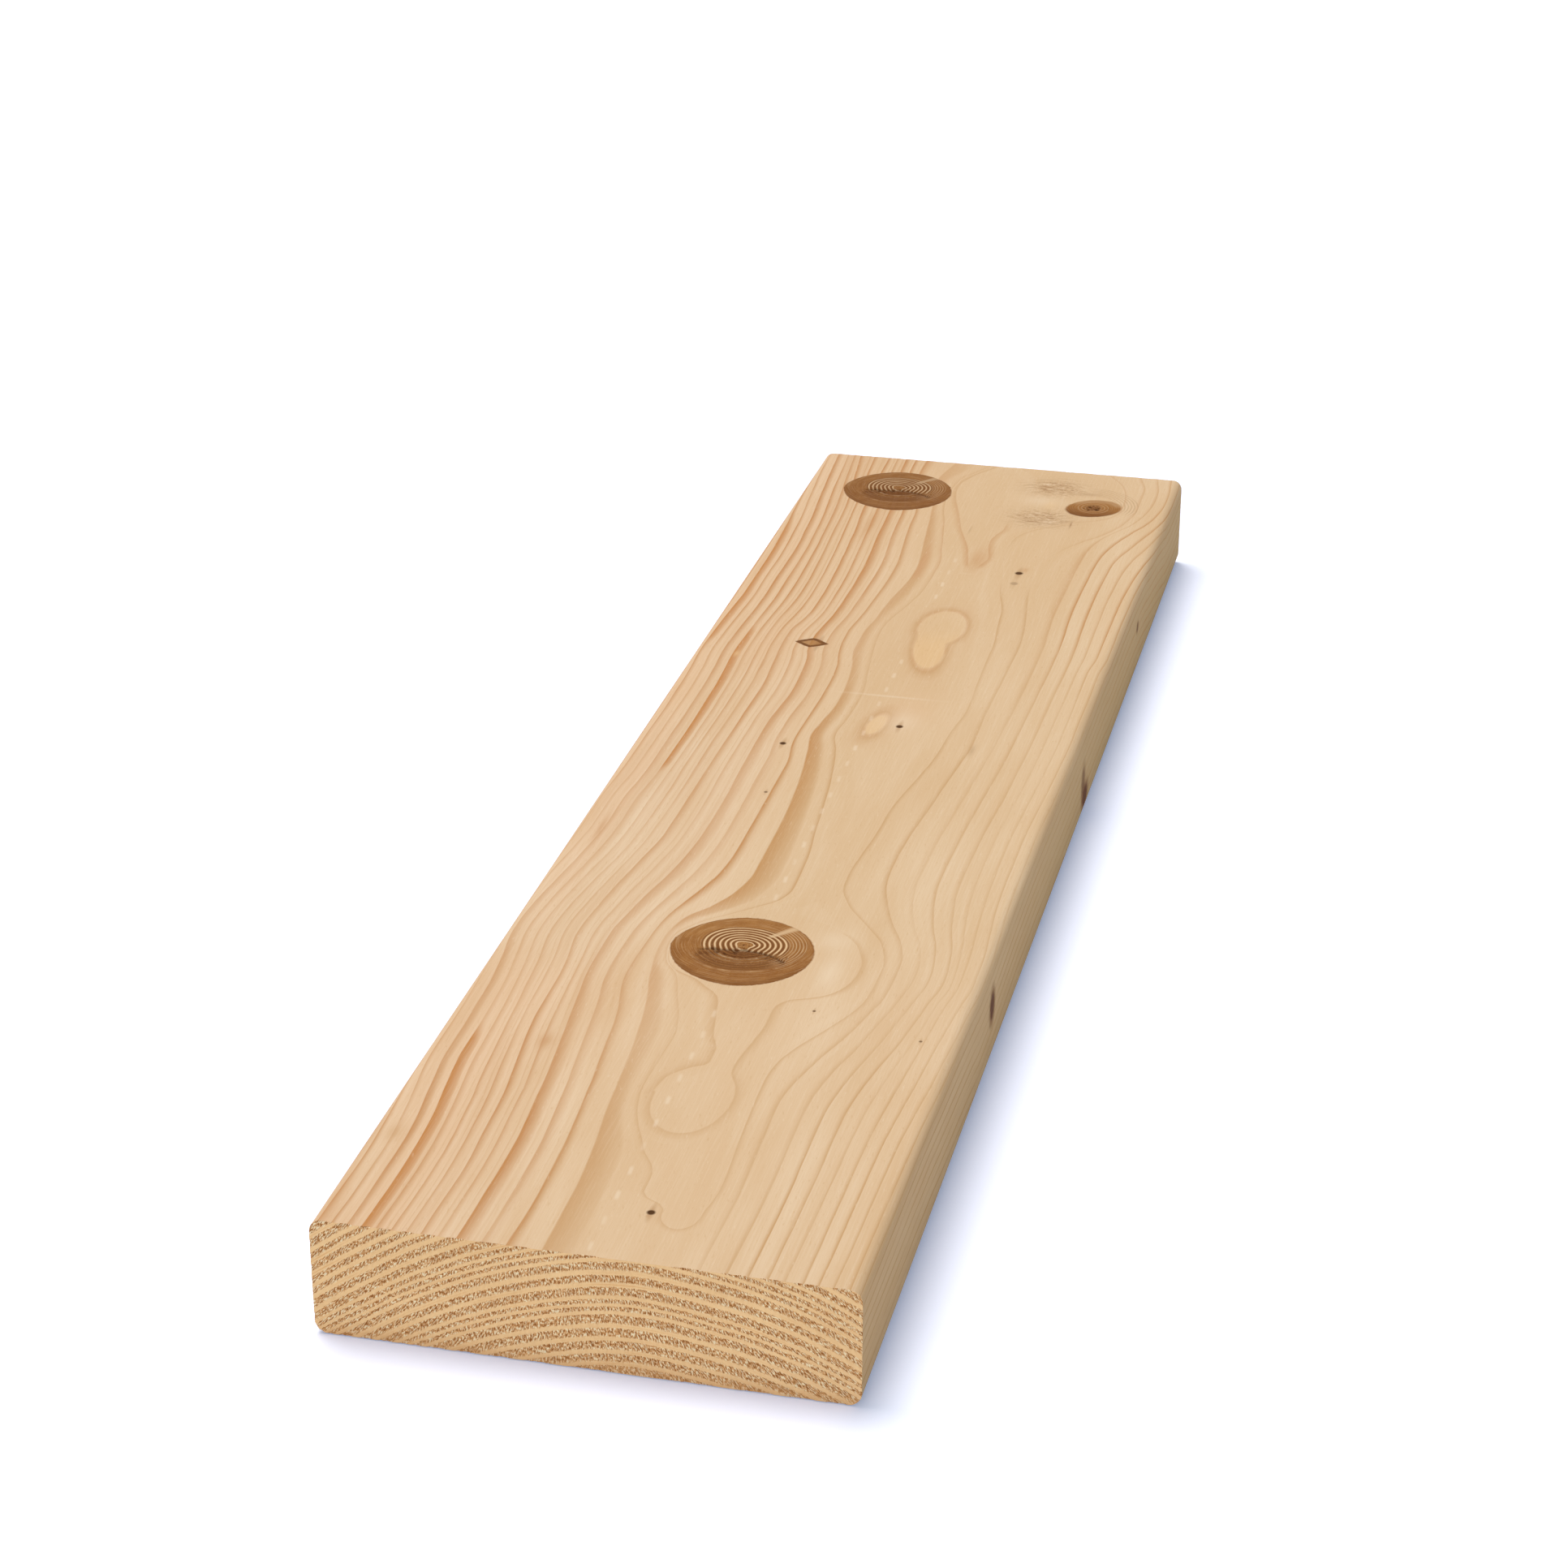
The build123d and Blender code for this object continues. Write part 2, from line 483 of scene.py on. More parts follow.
def add_group_socket(tree, direction, value):
    """A group socket that fits a number or a colour."""
    kind = "NodeSocketFloat" if isinstance(value, Field) else "NodeSocketColor"
    tree.interface.new_socket(direction.lower(), in_out=direction, socket_type=kind)


def stand_in(tree, socket, value):
    """A socket dressed as the value that it stands for."""
    return Field(tree, socket) if isinstance(value, Field) else socket


def clear_tree(holder):
    """The emptied node tree of a material or of a world."""
    holder.use_nodes = True
    holder.node_tree.nodes.clear()
    return holder.node_tree


def new_finish(name):
    """An empty material with a Principled shader, and its tree."""
    finish = bpy.data.materials.new(name)
    tree = clear_tree(finish)
    shader = tree.nodes.new("ShaderNodeBsdfPrincipled")
    add_node(tree, "OutputMaterial", shader.outputs[0])
    shader.inputs["Specular IOR Level"].default_value = WOOD_SHINE
    return finish, tree, shader


def plank_place(tree):
    """The Fields s, t and z of a point on the plank, in millimetres, from Object coordinates."""
    coordinates = tree.nodes.new("ShaderNodeTexCoord")
    split = tree.nodes.new("ShaderNodeSeparateXYZ")
    tree.links.new(coordinates.outputs["Object"], split.inputs[0])
    x, y, z = (Field(tree, split.outputs[i]) for i in range(3))
    return x / MM + LENGTH / 2, y / -MM, z / MM


def dress(tree, shader, base, roughness, height, strength, distance):
    """Gives a shader its colour, its roughness and its bump."""
    put(tree, shader.inputs["Base Color"], base.colour)
    put(tree, shader.inputs["Roughness"], roughness)
    bump = tree.nodes.new("ShaderNodeBump")
    for name, value in (("Strength", strength), ("Distance", distance * MM), ("Height", height)):
        put(tree, bump.inputs[name], value)
    tree.links.new(bump.outputs[0], shader.inputs["Normal"])


def point_value(tree, name):
    """A number that the mesh carries at its points."""
    node = add_node(tree, "Attribute", attribute_name=name)
    return Field(tree, node.outputs["Fac"])


def loop_depth(s, t, centre_s, centre_t, half_length, half_width, drift):
    """How far inside an ellipse a point lies, in millimetres: 0 on its line."""
    along = (s - centre_s) / half_length
    across = (t - centre_t - drift * (s - centre_s)) / half_width
    return (1 - radial(along, across)) * half_width


def smooth_join(a, b, blend):
    """The higher of two depths, rounded off where they meet."""
    return calculate("SMOOTH_MAX", a, b, blend)


def smooth_meet(a, b, blend):
    """The lower of two depths, rounded off where they meet."""
    return -smooth_join(-a, -b, blend)


def growth_rings(s, t):
    """The ring number on the top face: whole on each dark line, and rising from the heart zone to both
    sides. Closed loops in the heart are tents. The heart's and the loops' depths come with it."""
    # Counts of the lines on each side, and even rings beyond the last one.
    number = 0.0
    left = {ring: guide(s, points) for ring, points in LEFT_LINES.items()}
    for near, far in pairwise(left):
        way = calculate("DIVIDE", left[near] - t, left[near] - left[far], clamp=True)
        number = way * (far - near) + number
    number = number + highest(left[9] - t, 0.0) / RING_WIDTH
    right = {ring: guide(s, points) for ring, points in RIGHT_LINES.items()}
    for near, far in pairwise(right):
        way = calculate("DIVIDE", t - right[near], right[far] - right[near], clamp=True)
        number = way * (far - near) + number
    number = number + highest(t - right[5], 0.0) / RING_WIDTH
    # The heart zone, with its rounded near tip, and how the count eases in and out of it.
    heart = smooth_meet(t - guide(s, HEART_LEFT), guide(s, HEART_RIGHT) - t, 3.0)
    heart = smooth_join(lowest(heart, (s - HEART_TIP[0] + 5) * 0.9), loop_depth(s, t, *HEART_TIP), 2.0)
    number = number - 0.72 * share(lowest(heart / -5.5, (t - left[0]) / 12, (right[0] - t) / 7))
    number = number + 0.62 * share(heart / 14)
    # The closed loops: funnel and oval, two islands, and the V.
    start, end = FUNNEL_SPAN
    loops = lowest(t - guide(s, FUNNEL_LEFT), guide(s, FUNNEL_RIGHT) - t, (s - start) * 0.8, (end - s) * 0.8)
    loops = smooth_join(loops, loop_depth(s, t, *OVAL), 2.5)
    loops = highest(loops, loop_depth(s, t, *SMALL_ISLAND))
    near_lobe, far_lobe = (loop_depth(s, t, *lobe) for lobe in LARGE_ISLAND)
    loops = highest(loops, smooth_join(near_lobe, far_lobe, 3.0))
    vee = smooth_meet(t - guide(s, VEE_LEFT), guide(s, VEE_RIGHT) - t, 2.0)
    vee = lowest(vee, (s - VEE_TIP) * 0.7)
    loops = highest(loops, vee)
    tent = 1 + 0.45 * lowest(highest(loops / 5.5, -1.0), 0.0) + 0.4 * share(loops / 30)
    in_heart = rise(heart, 0.0, 1.0) * calculate("GREATER_THAN", loops, -5.5)
    number = number + highest(tent - number, 0.0) * in_heart
    return number, heart, loops


def latewood(number, broad):
    """How dark the ring is: it darkens slowly towards the next ring and ends at a sharp edge. Broad runs
    from -1, a thin line, to 1, a wide band."""
    place = calculate("FRACT", number)
    start = 0.52 - broad * 0.24
    slope = calculate("DIVIDE", place - start, 0.94 - start, clamp=True)
    return (slope ** (1.35 - broad * 0.85)) * calculate("DIVIDE", 1 - place, 0.04, clamp=True)


def on_ring(number, ring):
    """1 where the next line outwards is this ring."""
    return calculate("COMPARE", ceiling(number), ring, 0.1)


def line_strength(s, t, number, heart):
    """How strongly each ring shows, how broad its dark part is, and where the two boldest rings run."""
    beside = t - guide(s, HEART_LEFT)
    left_side = calculate("LESS_THAN", beside, 0.0)
    away = 1 - ease(beside, -9, -1)
    inside = rise(heart, -0.5, 0.5)
    outside = 1 - inside
    left = left_side * outside
    right = (1 - left_side) * outside
    ring = ceiling(number)
    chance = lot(ring + left_side * 40)
    drift = noise(s / 110, ring * 3.7 + left_side * 9, 0.0, detail=1.0)
    amount = left * show(s, LEFT_SHOW) * (show(ring, RING_SHOW, 16) * 1.55 + 0.1)
    amount = amount + right * show(s, RIGHT_SHOW) * (0.6 + chance * 0.5) + inside * show(s, HEART_SHOW)
    amount = amount * (0.95 + drift * 1.3)
    amount = amount * (1 - inside * window(s, 742, 830, 12) * ease(t, 8, 16))
    amount = amount * (1 - inside * window(s, 258, 280, 3) * window(t, -25, 34, 6))
    amount = amount * (1 - inside * window(s, 650, 668, 8) * window(t, 2, 22, 4))
    first_left = left * on_ring(number, 0)
    first_right = right * on_ring(number, 0)
    second_left = left * on_ring(number, 1)
    ninth = left * on_ring(number, 9) * show(s, NINTH_SHOW)
    twelfth = left * on_ring(number, 12) * show(s, TWELFTH_SHOW)
    near_heart = show(s, HEART_LEFT_SHOW) * (1 - away) + away
    amount = amount * (1 - first_left) + first_left * show(s, FIRST_LEFT_SHOW) * near_heart
    amount = amount * (1 - second_left) + second_left * show(s, SECOND_LEFT_SHOW)
    amount = amount * (1 - first_right) + first_right * show(s, FIRST_RIGHT_SHOW)
    strong = highest(ninth, twelfth)
    amount = highest(amount, strong * 1.2)
    broad = left * (chance - 0.45) * 1.3
    broad = broad * (1 - first_left) + highest(strong * 1.2, first_left * away * 0.9)
    broad = broad - (right + first_left * (1 - away)) * 0.55 - inside * 0.35
    return share(amount), broad, strong


def large_knot(s, t, under, centre, pit, palette):
    """Colour and cover of a large knot: pale ridges on its far half, dark torn crescents on its near half
    and a plain brown rim. On the underside, where under is 1, it is smaller."""
    ds = (s - centre[0]) * (1 + under * 0.7)
    dt = (t - centre[1]) * (1 + under * 0.7)
    distance = radial(ds, dt) + share((-ds - dt - 28) / 20) * 2.2
    distance = distance + share((ds - dt - 34) / 8) * 0.9 + noise(s / 2.2, t / 2.2, 0.0, detail=3.0) * 1.0
    cover = 1 - rise(distance, LARGE_KNOT_RADIUS - 0.3, LARGE_KNOT_RADIUS + 0.3)
    px = (ds - LARGE_KNOT_PITH[0]) / LARGE_KNOT_SQUASH[0]
    py = (dt - LARGE_KNOT_PITH[1]) / LARGE_KNOT_SQUASH[1]
    angle = calculate("ARCTAN2", py, px)
    even = radial(px, py) + sine(angle * 3 + 1) * 0.3
    radius = even + noise(s / 9, t / 9, 3.0) * 1.3
    fine = noise(radius / 0.55, angle * 1.5, 0.0, detail=2.0, roughness=0.6)
    blotch = noise(s / 6, t / 6, 8.0, detail=3.0, roughness=0.6)
    grain = noise(s / 1.0, t / 1.0, 14.0, detail=2.0, roughness=0.7)
    tone = share(0.2 + ease(px, -18, 12) * 0.4 + ease(-dt, -30, 0) * 0.1 + blotch * 1.4)
    face = Coat(palette, "knot_rim")
    face.lay("knot_tan", tone)
    face.lay("knot_cream", share(fine * 2.6) * 0.5)
    face.lay("knot_dark", share(fine * -2.2) * 0.55)
    face.lay("knot_cream", share(grain * 1.5) * 0.25)
    face.lay("knot_dark", window(distance, 27, 29.4, 1.0) * (1 - ease(px, -24, -14)) * 0.3)
    face.lay("knot_dark", ease(distance, 28.6, 29.6) * 0.35)
    # Ridges round the pith on the far half, and the pith itself.
    ring = sine(even * (math.tau / LARGE_KNOT_RING) + LARGE_KNOT_PHASE) * 0.5 + 0.5
    far_half = ease(ds, -1.5, 1.5) * window(even, 3.2, 16.6, 0.8)
    side_on = ease(abs(angle), 0.1, 1.2)
    face.lay("knot_dark", far_half * (1 - ease(ring, 0.1, 0.65)) * 0.75)
    bright = ease(ring, 0.55, 0.95) * share(0.75 + side_on * 0.25 + blotch * 1.2)
    face.lay("knot_cream", far_half * bright)
    core = 1 - ease(even, 2.4, 3.4)
    face.lay("knot_tan", core * share(0.4 + grain * 3))
    face.lay("knot_dark", core * ease(-grain, 0.0, 0.2) * 0.75)
    face.lay("knot_cream", core * ease(grain, 0.1, 0.3) * 0.7)
    # The crack, with a band of painted shade beside it, and the torn crescents on the near half.
    crack_s = 1.2 - (dt - 1) * (dt - 1) * 0.0145
    gap = (ds - crack_s + 2.6) / 3.2
    beside = calculate("EXPONENT", gap * gap * -1) * window(dt, -16, 18, 3)
    fan = ease(-ds, 0, 2)
    inner = window(even, 6.0, 12.0, 0.6) * window(dt, -9, 9, 3)
    outer = window(even, 17.2, 22.5, 1.8) * window(dt, -12, 12, 8) * 0.7
    middle = window(even, 12.5, 17.5, 1.0) * window(dt, -12, 19, 4) * 0.45
    rough = share(0.95 + grain * 1.6 + blotch * 0.8)
    dark = highest(highest(inner, outer, middle) * fan, beside * 0.95) * rough
    face.lay("knot_dark", dark)
    torn_rings = ease(ring + grain * 1.4, 0.6, 1.1) * fan * window(even, 3.5, 22, 1.5)
    face.lay("knot_tan", torn_rings * window(dt, -16, 19, 4) * 0.5)
    chips = ease(grain, 0.12, 0.3) * window(dt, -18, 17, 3) * window(ds, -11, 2.5, 3) * (1 - inner)
    face.lay("knot_cream", chips * 0.6)
    pale = highest(window(even, 12.3, 12.9, 0.35) * 0.55, window(even, 14.9, 15.3, 0.4) * 0.3,
                   window(even, 24.2, 24.9, 0.5) * 0.3)
    face.lay("knot_cream", pale * fan * share(0.5 + blotch * 3) * window(dt, -14, 19, 4))
    # The pale ray, streaks and fine threads outside the rings.
    wedge_angle = (angle - 0.68) / 0.1
    wedge = share(1 - wedge_angle * wedge_angle) * window(radius, 14, 25, 2.5)
    streaks = share(noise(radius / 12, angle * 9, 5.0, detail=1.0) * 5 - 0.9) * window(radius, 17, 28, 2)
    threads = ease(sine(even * (math.tau / 1.3)), 0.3, 1) * window(even, 17.5, 23.5, 1)
    threads = threads * window(angle, 0.7, 2.2, 0.3)
    face.lay("knot_cream", highest(wedge * 0.75, streaks * 0.35, threads * 0.45))
    face.lay("knot_dark", cover * centre[2])
    # Painted shade in the crack and holes, darker where the mesh sinks deeper.
    face.lay("pit", ease(pit, 0.3, 0.95) * 0.52)
    return face.colour, cover


def small_knot(s, t, pit, palette):
    """Colour and cover of the small egg-shaped knot: dark, darkest at its near rim, with a cracked core."""
    ds = s - SMALL_KNOT[0]
    dt = t - SMALL_KNOT[1]
    u = ds * math.cos(SMALL_KNOT_TURN) + dt * math.sin(SMALL_KNOT_TURN)
    v = dt * math.cos(SMALL_KNOT_TURN) - ds * math.sin(SMALL_KNOT_TURN)
    u = u / SMALL_KNOT_AXES[0]
    v = v / SMALL_KNOT_AXES[1]
    radius = radial(u, v)
    cover = 1 - ease(radius + noise(s / 3, t / 3, 7.0) * 0.05, 0.94, 1.06)
    core_s = ds - 0.8
    core_t = dt + 0.3
    reach = radial(core_s, core_t)
    fine = noise(reach / 0.5, calculate("ARCTAN2", core_t, core_s) * 1.2, 2.0, detail=2.0)
    blotch = noise(s / 4, t / 4, 8.0, detail=3.0, roughness=0.6)
    grain = noise(s / 1.1, t / 1.1, 14.0, detail=2.0, roughness=0.7)
    face = Coat(palette, "knot_rim")
    face.lay("knot_tan", share(0.35 + ease(ds, -9, 9) * 0.7 + blotch))
    face.lay("knot_dark", share(fine * -1.8) * 0.5)
    face.lay("knot_cream", share(fine * 2.0) * 0.4)
    face.lay("knot_dark", (1 - ease(ds, -12, 0)) * ease(radius, 0.45, 0.75) * 0.5)
    face.lay("knot_dark", (1 - ease(ds, -13, -3)) * ease(radius, 0.86, 0.97) * 0.5)
    face.lay("knot_cream", ease(ds, 2, 8) * ease(radius, 0.6, 0.85) * 0.3)
    rings = wave(reach, 1.9)
    face.lay("knot_cream", window(reach, 3, 8.5, 1.5) * ease(rings, 0.6, 1) * 0.3)
    middle = 1 - ease(reach, 3.2, 5.2)
    face.lay("knot_dark", middle * share(0.6 + grain * 2.5))
    face.lay("knot_cream", middle * ease(grain, 0.1, 0.3) * 0.6)
    face.lay("knot_dark", cover * 0.13)
    # Painted shade in the cracked core's holes, darker where the mesh sinks deeper.
    face.lay("pit", ease(pit, 0.25, 0.8) * 0.92)
    return face.colour, cover


def torn_grain(s, t):
    """How dark and how light the torn fibres are: short arcs at both sides of the small knot, and rings
    round its far corner."""
    ds = s - TORN_CENTRE[0]
    dt = (t - TORN_CENTRE[1]) / 1.3
    radius = radial(ds, dt) + noise(s / 9, t / 9, 1.0, detail=2.0) * 4.0
    angle = calculate("ARCTAN2", dt, abs(ds))
    near = spot(abs(ds), t, TORN_SIDE)
    streak = noise(radius / 0.95, angle * 3.5, calculate("SIGN", ds) * 3, detail=3.0, roughness=0.6)
    streak = streak + noise(s / 0.9, t / 1.8, 6.0, detail=2.0, roughness=0.7) * 0.5
    dark = share(ease(streak, -0.04, 0.12) * share(near * 1.5) * 0.75 + near * 0.3)
    light = ease(-streak, 0.04, 0.18) * near * 0.5
    ks = s - WRAP_CENTRE[0]
    kt = t - WRAP_CENTRE[1]
    reach = radial(ks, kt) + noise(s / 8, t / 8, 2.0) * 1.2
    bearing = calculate("ARCTAN2", kt, ks)
    wrap = ease(wave(reach, 1.75), 0.3, 1) * window(reach, 17, 26, 3) * window(bearing, 0.2, 1.7, 0.5)
    return highest(dark, wrap * share(0.75 + streak * 1.5) * 0.5), light


def roller_marks(s, t):
    """Pale dashes where a feed roller pressed the face, at an even pitch along one line."""
    count = (s - ROLLER_FIRST) / ROLLER_PITCH + 0.5
    turn = calculate("FRACT", count) - 0.5
    along = abs(turn * ROLLER_PITCH)
    across = abs(t - ROLLER_LINE + turn * 1.2)
    chance = lot(calculate("FLOOR", count))
    mark = (1 - ease(along, 1.2, 4.2)) * (1 - ease(across, 0.2, 1.3)) * (0.5 + chance * 0.5)
    return mark * highest(*[window(s, low, high, 1.0) for low, high in ROLLER_SPANS])


def pin_knots(s, t, base, palette):
    """Small dark round knots, each with a short smear along the grain."""
    coat = Coat(palette, base)
    for knot_s, knot_t, size, dark in PIN_KNOTS:
        ds = s - knot_s
        dt = t - knot_t
        distance = radial(ds, dt) / size
        smear_s = ds / (size * 4.5)
        smear_t = dt / (size * 0.9)
        smear = 1 - radial(smear_s, smear_t)
        coat.lay("knot_tan", share(smear) * 0.6 * dark)
        coat.lay("pin_knot", (1 - ease(distance, 0.55, 1.15)) * dark)
    return coat.colour


def smudges(s, t, base, palette):
    """Soft stains, pale patches and short marks on the top face."""
    coat = Coat(palette, base)
    for *place, strength, name in SMUDGES:
        coat.lay(name, spot(s, t, place, 1.4) * strength)
    return coat.colour


def diamond_knot(s, t, base, palette):
    """A small diamond-shaped knot: a brown outline round a paler middle, and a thin streak through it."""
    coat = Coat(palette, base)
    knot_s, knot_t, half_length, half_width = DIAMOND_KNOT
    off_s = abs(s - knot_s)
    along = off_s / half_length
    across = abs(t - knot_t) / half_width
    radius = along ** 1.15 + across ** 1.15 + noise(s / 2.5, t / 2.5, 0.0) * 0.2
    coat.lay("knot_tan", (1 - ease(radius, 0.92, 1.05)) * 0.8)
    coat.lay("knot_dark", window(radius, 0.62, 0.92, 0.16) * 0.85)
    streak = 1 - rise(abs(t - knot_t - 3.5) + off_s * 0.12, 0.2, 2.2)
    coat.lay("knot_rim", streak * 0.45 * (1 - ease(off_s, 7, 13)))
    return coat.colour


def edge_knots(s, t, z, base, palette):
    """Knots that show on the right-hand edge: tall narrow ovals with a trail."""
    coat = Coat(palette, base)
    on_edge = ease(t, 93, 98)
    for knot_s, knot_z, half_length, half_height, dark in EDGE_KNOTS:
        ds = (s - knot_s) / half_length
        dz = (z - knot_z) / half_height
        ragged = radial(ds, dz) + noise(s / 3, z / 3, 2.0, detail=2.0) * 0.5
        coat.lay("knot_rim", (1 - ease(ragged, 0.8, 1.8)) * on_edge * 0.75 * dark)
        coat.lay("knot_dark", (1 - ease(ragged, 0.6, 1.1)) * on_edge * dark)
    return coat.colour


def underside_rings(s, t):
    """The ring number on the underside: tall arches that bend round the two large knots."""
    across = (t - 12 + noise(s / 260, 0.0, 6.0) * 30) / 6.4
    number = calculate("SQRT", across * across + 5.0) - s / 230 + noise(s / 180, t / 50, 1.0) * 1.6
    for knot_s, knot_t, _ in LARGE_KNOTS:
        number = number - spot(s, t, (knot_s, knot_t, 46, 24)) * 2.2
    return number


def planed_softwood(palette, part):
    """The finish of the planed faces. All parts share one pattern, and each adds only its own knots: part
    is "plain", "underside", "small knot" or a large knot's number. The rings run on down the edges, and the
    underside has arches of its own."""
    finish, tree, shader = new_finish(f"planed_softwood_{part}".replace(" ", "_"))
    s, t, z = plank_place(tree)
    pit = point_value(tree, "pit")
    on_top = rise(z, 40, 43)
    under = 1 - rise(z, 1.0, 2.5)
    sway = noise(s / 45, t / 11, z / 11, detail=2.0)
    waved = t + sway * 1.3
    number, heart, loops = in_group(growth_rings, s, waved)
    amount, broad, strong = in_group(line_strength, s, waved, number, heart)
    number = number + (THICKNESS - z) / RING_DEPTH
    edge_amount = 0.75 + noise(s / 90, z / 5, 3.0, detail=2.0) * 2.6
    amount = share(amount * on_top + share(edge_amount) * (1 - on_top))
    number = number * (1 - under) + in_group(underside_rings, s, waved) * under
    lines = latewood(number, broad)
    between = latewood(number * 2 + 0.35, -0.5) * share(lot(ceiling(number) + 70) * 1.5 - 0.6)
    lines = highest(lines, between * 0.5 * ease(-t, 10, 30))
    # Broad zones of colour.
    cloud = noise(s / 120, t / 22, z / 22, detail=3.0)
    base = Coat(palette, "pale_wood")
    base.lay("warm_wood", share(0.45 + cloud * 2.2))
    pink = ease(-t, 28, 80) * share(0.6 + noise(s / 160, t / 30, 4.0) * 1.8)
    pink = pink * (1 - window(s, 240, 480, 70) * window(t, -78, -40, 10) * 0.95)
    base.lay("pink_wood", pink * 0.7)
    base.lay("warm_wood", window(t, -12, 32, 10) * 0.4)
    far_part = rise(s, 420, 800) * window(t, -62, 62, 22) * on_top
    base.lay("warm_wood", far_part * 0.8)
    band = noise(s / 240, number * 0.8, 3.0, detail=1.0)
    base.lay("warm_wood", share(band * 2.4) * ease(-t, 20, 60) * 0.6)
    base.lay("left_line", share(band * 4 - 0.1) * ease(-t, 25, 60) * 0.24)
    duller = (0.09 + ease(s, 180, 280) * 0.1) * ease(t, -40, 0) * on_top
    base.lay("side_wood", duller)
    base.lay("warm_wood", ease(s, 560, 640) * ease(-t, 30, 50) * 0.2)
    base.lay("bleached", window(s, 250, 420, 60) * window(t, -90, -40, 12) * 0.12)
    # The islands, the V and the lines.
    islands = window(s, 440, 624, 5) * on_top
    halo = calculate("EXPONENT", lowest(loops, 0.0) / 3.4) * (1 - rise(loops, 0.0, 0.9))
    rim = calculate("EXPONENT", lowest(loops, 0.0) / 0.9) * (1 - rise(loops, 0.2, 1.2))
    mottle = share(0.75 + noise(s / 12, t / 6, 9.0) * 2)
    base.lay("honey_wood", rise(loops, 0.0, 1.5) * islands * (0.6 - ease(s, 560, 590) * 0.45))
    base.lay("left_line", highest(halo * 0.3, rim * 0.5) * islands * mottle)
    base.lay("left_line", spot(s, t, VEE_STAIN) * on_top * 0.42)
    reddish = highest(ease(-t, 2, 42), window(s, 655, 760, 12) * window(t, -14, 20, 4))
    reddish = highest(reddish, ease(s, 480, 640) * ease(t, 48, 70) * 0.6)
    line_colour = Coat(palette, "right_line")
    line_colour.lay("left_line", reddish)
    line_colour.lay("strong_line", strong)
    streak = noise(s / 150, number * 3.3, t / 60, detail=3.0, roughness=0.6)
    base.lay("warm_wood", share(streak * 1.6) * 0.55)
    base.lay("bleached", share(streak * -1.3) * 0.4)
    on_side = (1 - on_top) * ease(t, 92, 99)
    # The right-hand edge turns duller towards the far end, and painted shade darkens its foot near the
    # floor.
    side_dullness_and_foot_shade = 0.06 + rise(s, 100, 560) * 0.6 + (1 - rise(z, 6, 32)) * 0.24
    base.lay("side_wood", share(side_dullness_and_foot_shade) * on_side)
    base.lay(line_colour, lines * amount)
    # Fine fibre and flecks.
    fibre = noise(s / 24, t / 0.6, z / 0.6, detail=3.0, roughness=0.65)
    base.lay("warm_wood", share(fibre * 1.8) * 0.8)
    base.lay("bleached", share(fibre * -1.5) * 0.45)
    fleck = noise(s / 4.0, (t + s * 0.12) / 0.9, z / 0.9, detail=2.0)
    base.lay("right_line", ease(fleck, 0.1, 0.3) * 0.26)
    base.lay("bleached", ease(-fleck, 0.12, 0.3) * 0.22)
    # Marks and knots.
    if part != "underside":
        marked = Coat(palette, base)
        marked.lay("bleached", in_group(roller_marks, s, t) * 0.45)
        for marks in (smudges, pin_knots, diamond_knot):
            marked.colour = in_group(marks, s, t, marked.colour, palette)
        torn, raised = in_group(torn_grain, s, t)
        marked.lay("torn_grain", torn * 0.85)
        marked.lay("bleached", raised)
        base.lay(marked, on_top)
    if part == "plain":
        base.colour = in_group(edge_knots, s, t, z, base.colour, palette)
    for index, centre in enumerate(LARGE_KNOTS):
        if part in (index, "underside"):
            face, cover = in_group(large_knot, s, t, under, centre, pit, palette)
            base.lay(face, cover)
    if part == "small knot":
        face, cover = in_group(small_knot, s, t, pit, palette)
        base.lay(face, cover)

    height = fibre + noise(s / 5, t / 0.8, z / 0.8) * 0.8
    dress(tree, shader, base, 0.6 - lines * 0.08 + fibre * 0.12, height, 0.35, 0.1)
    return finish


def arch_height(t, z):
    """How high each point of a sawn end would be at the crown of its arch."""
    along, drop = np.array(ARCH_DROP).T
    smooth = np.linspace(along[0], along[-1], 401)
    window_shape = np.hanning(41)
    eased = np.convolve(np.pad(np.interp(smooth, along, drop), 20, mode="reflect", reflect_type="odd"),
                        window_shape / window_shape.sum(), mode="valid")
    return z + np.interp(t, smooth, eased)


def end_ring_number(height):
    """The ring number at a crown height: latewood up to SMOOTH_SHARE past a whole number, then torn
    earlywood."""
    edges = np.array(SMOOTH_BANDS)
    counts = np.arange(len(edges))[:, None] + np.array([0.0, SMOOTH_SHARE])
    return np.interp(height, edges.reshape(-1), counts.reshape(-1))


def ease_array(value, low, high):
    """The same S as ease, on an array."""
    x = np.clip((value - low) / (high - low), 0, 1)
    return x * x * (3 - 2 * x)


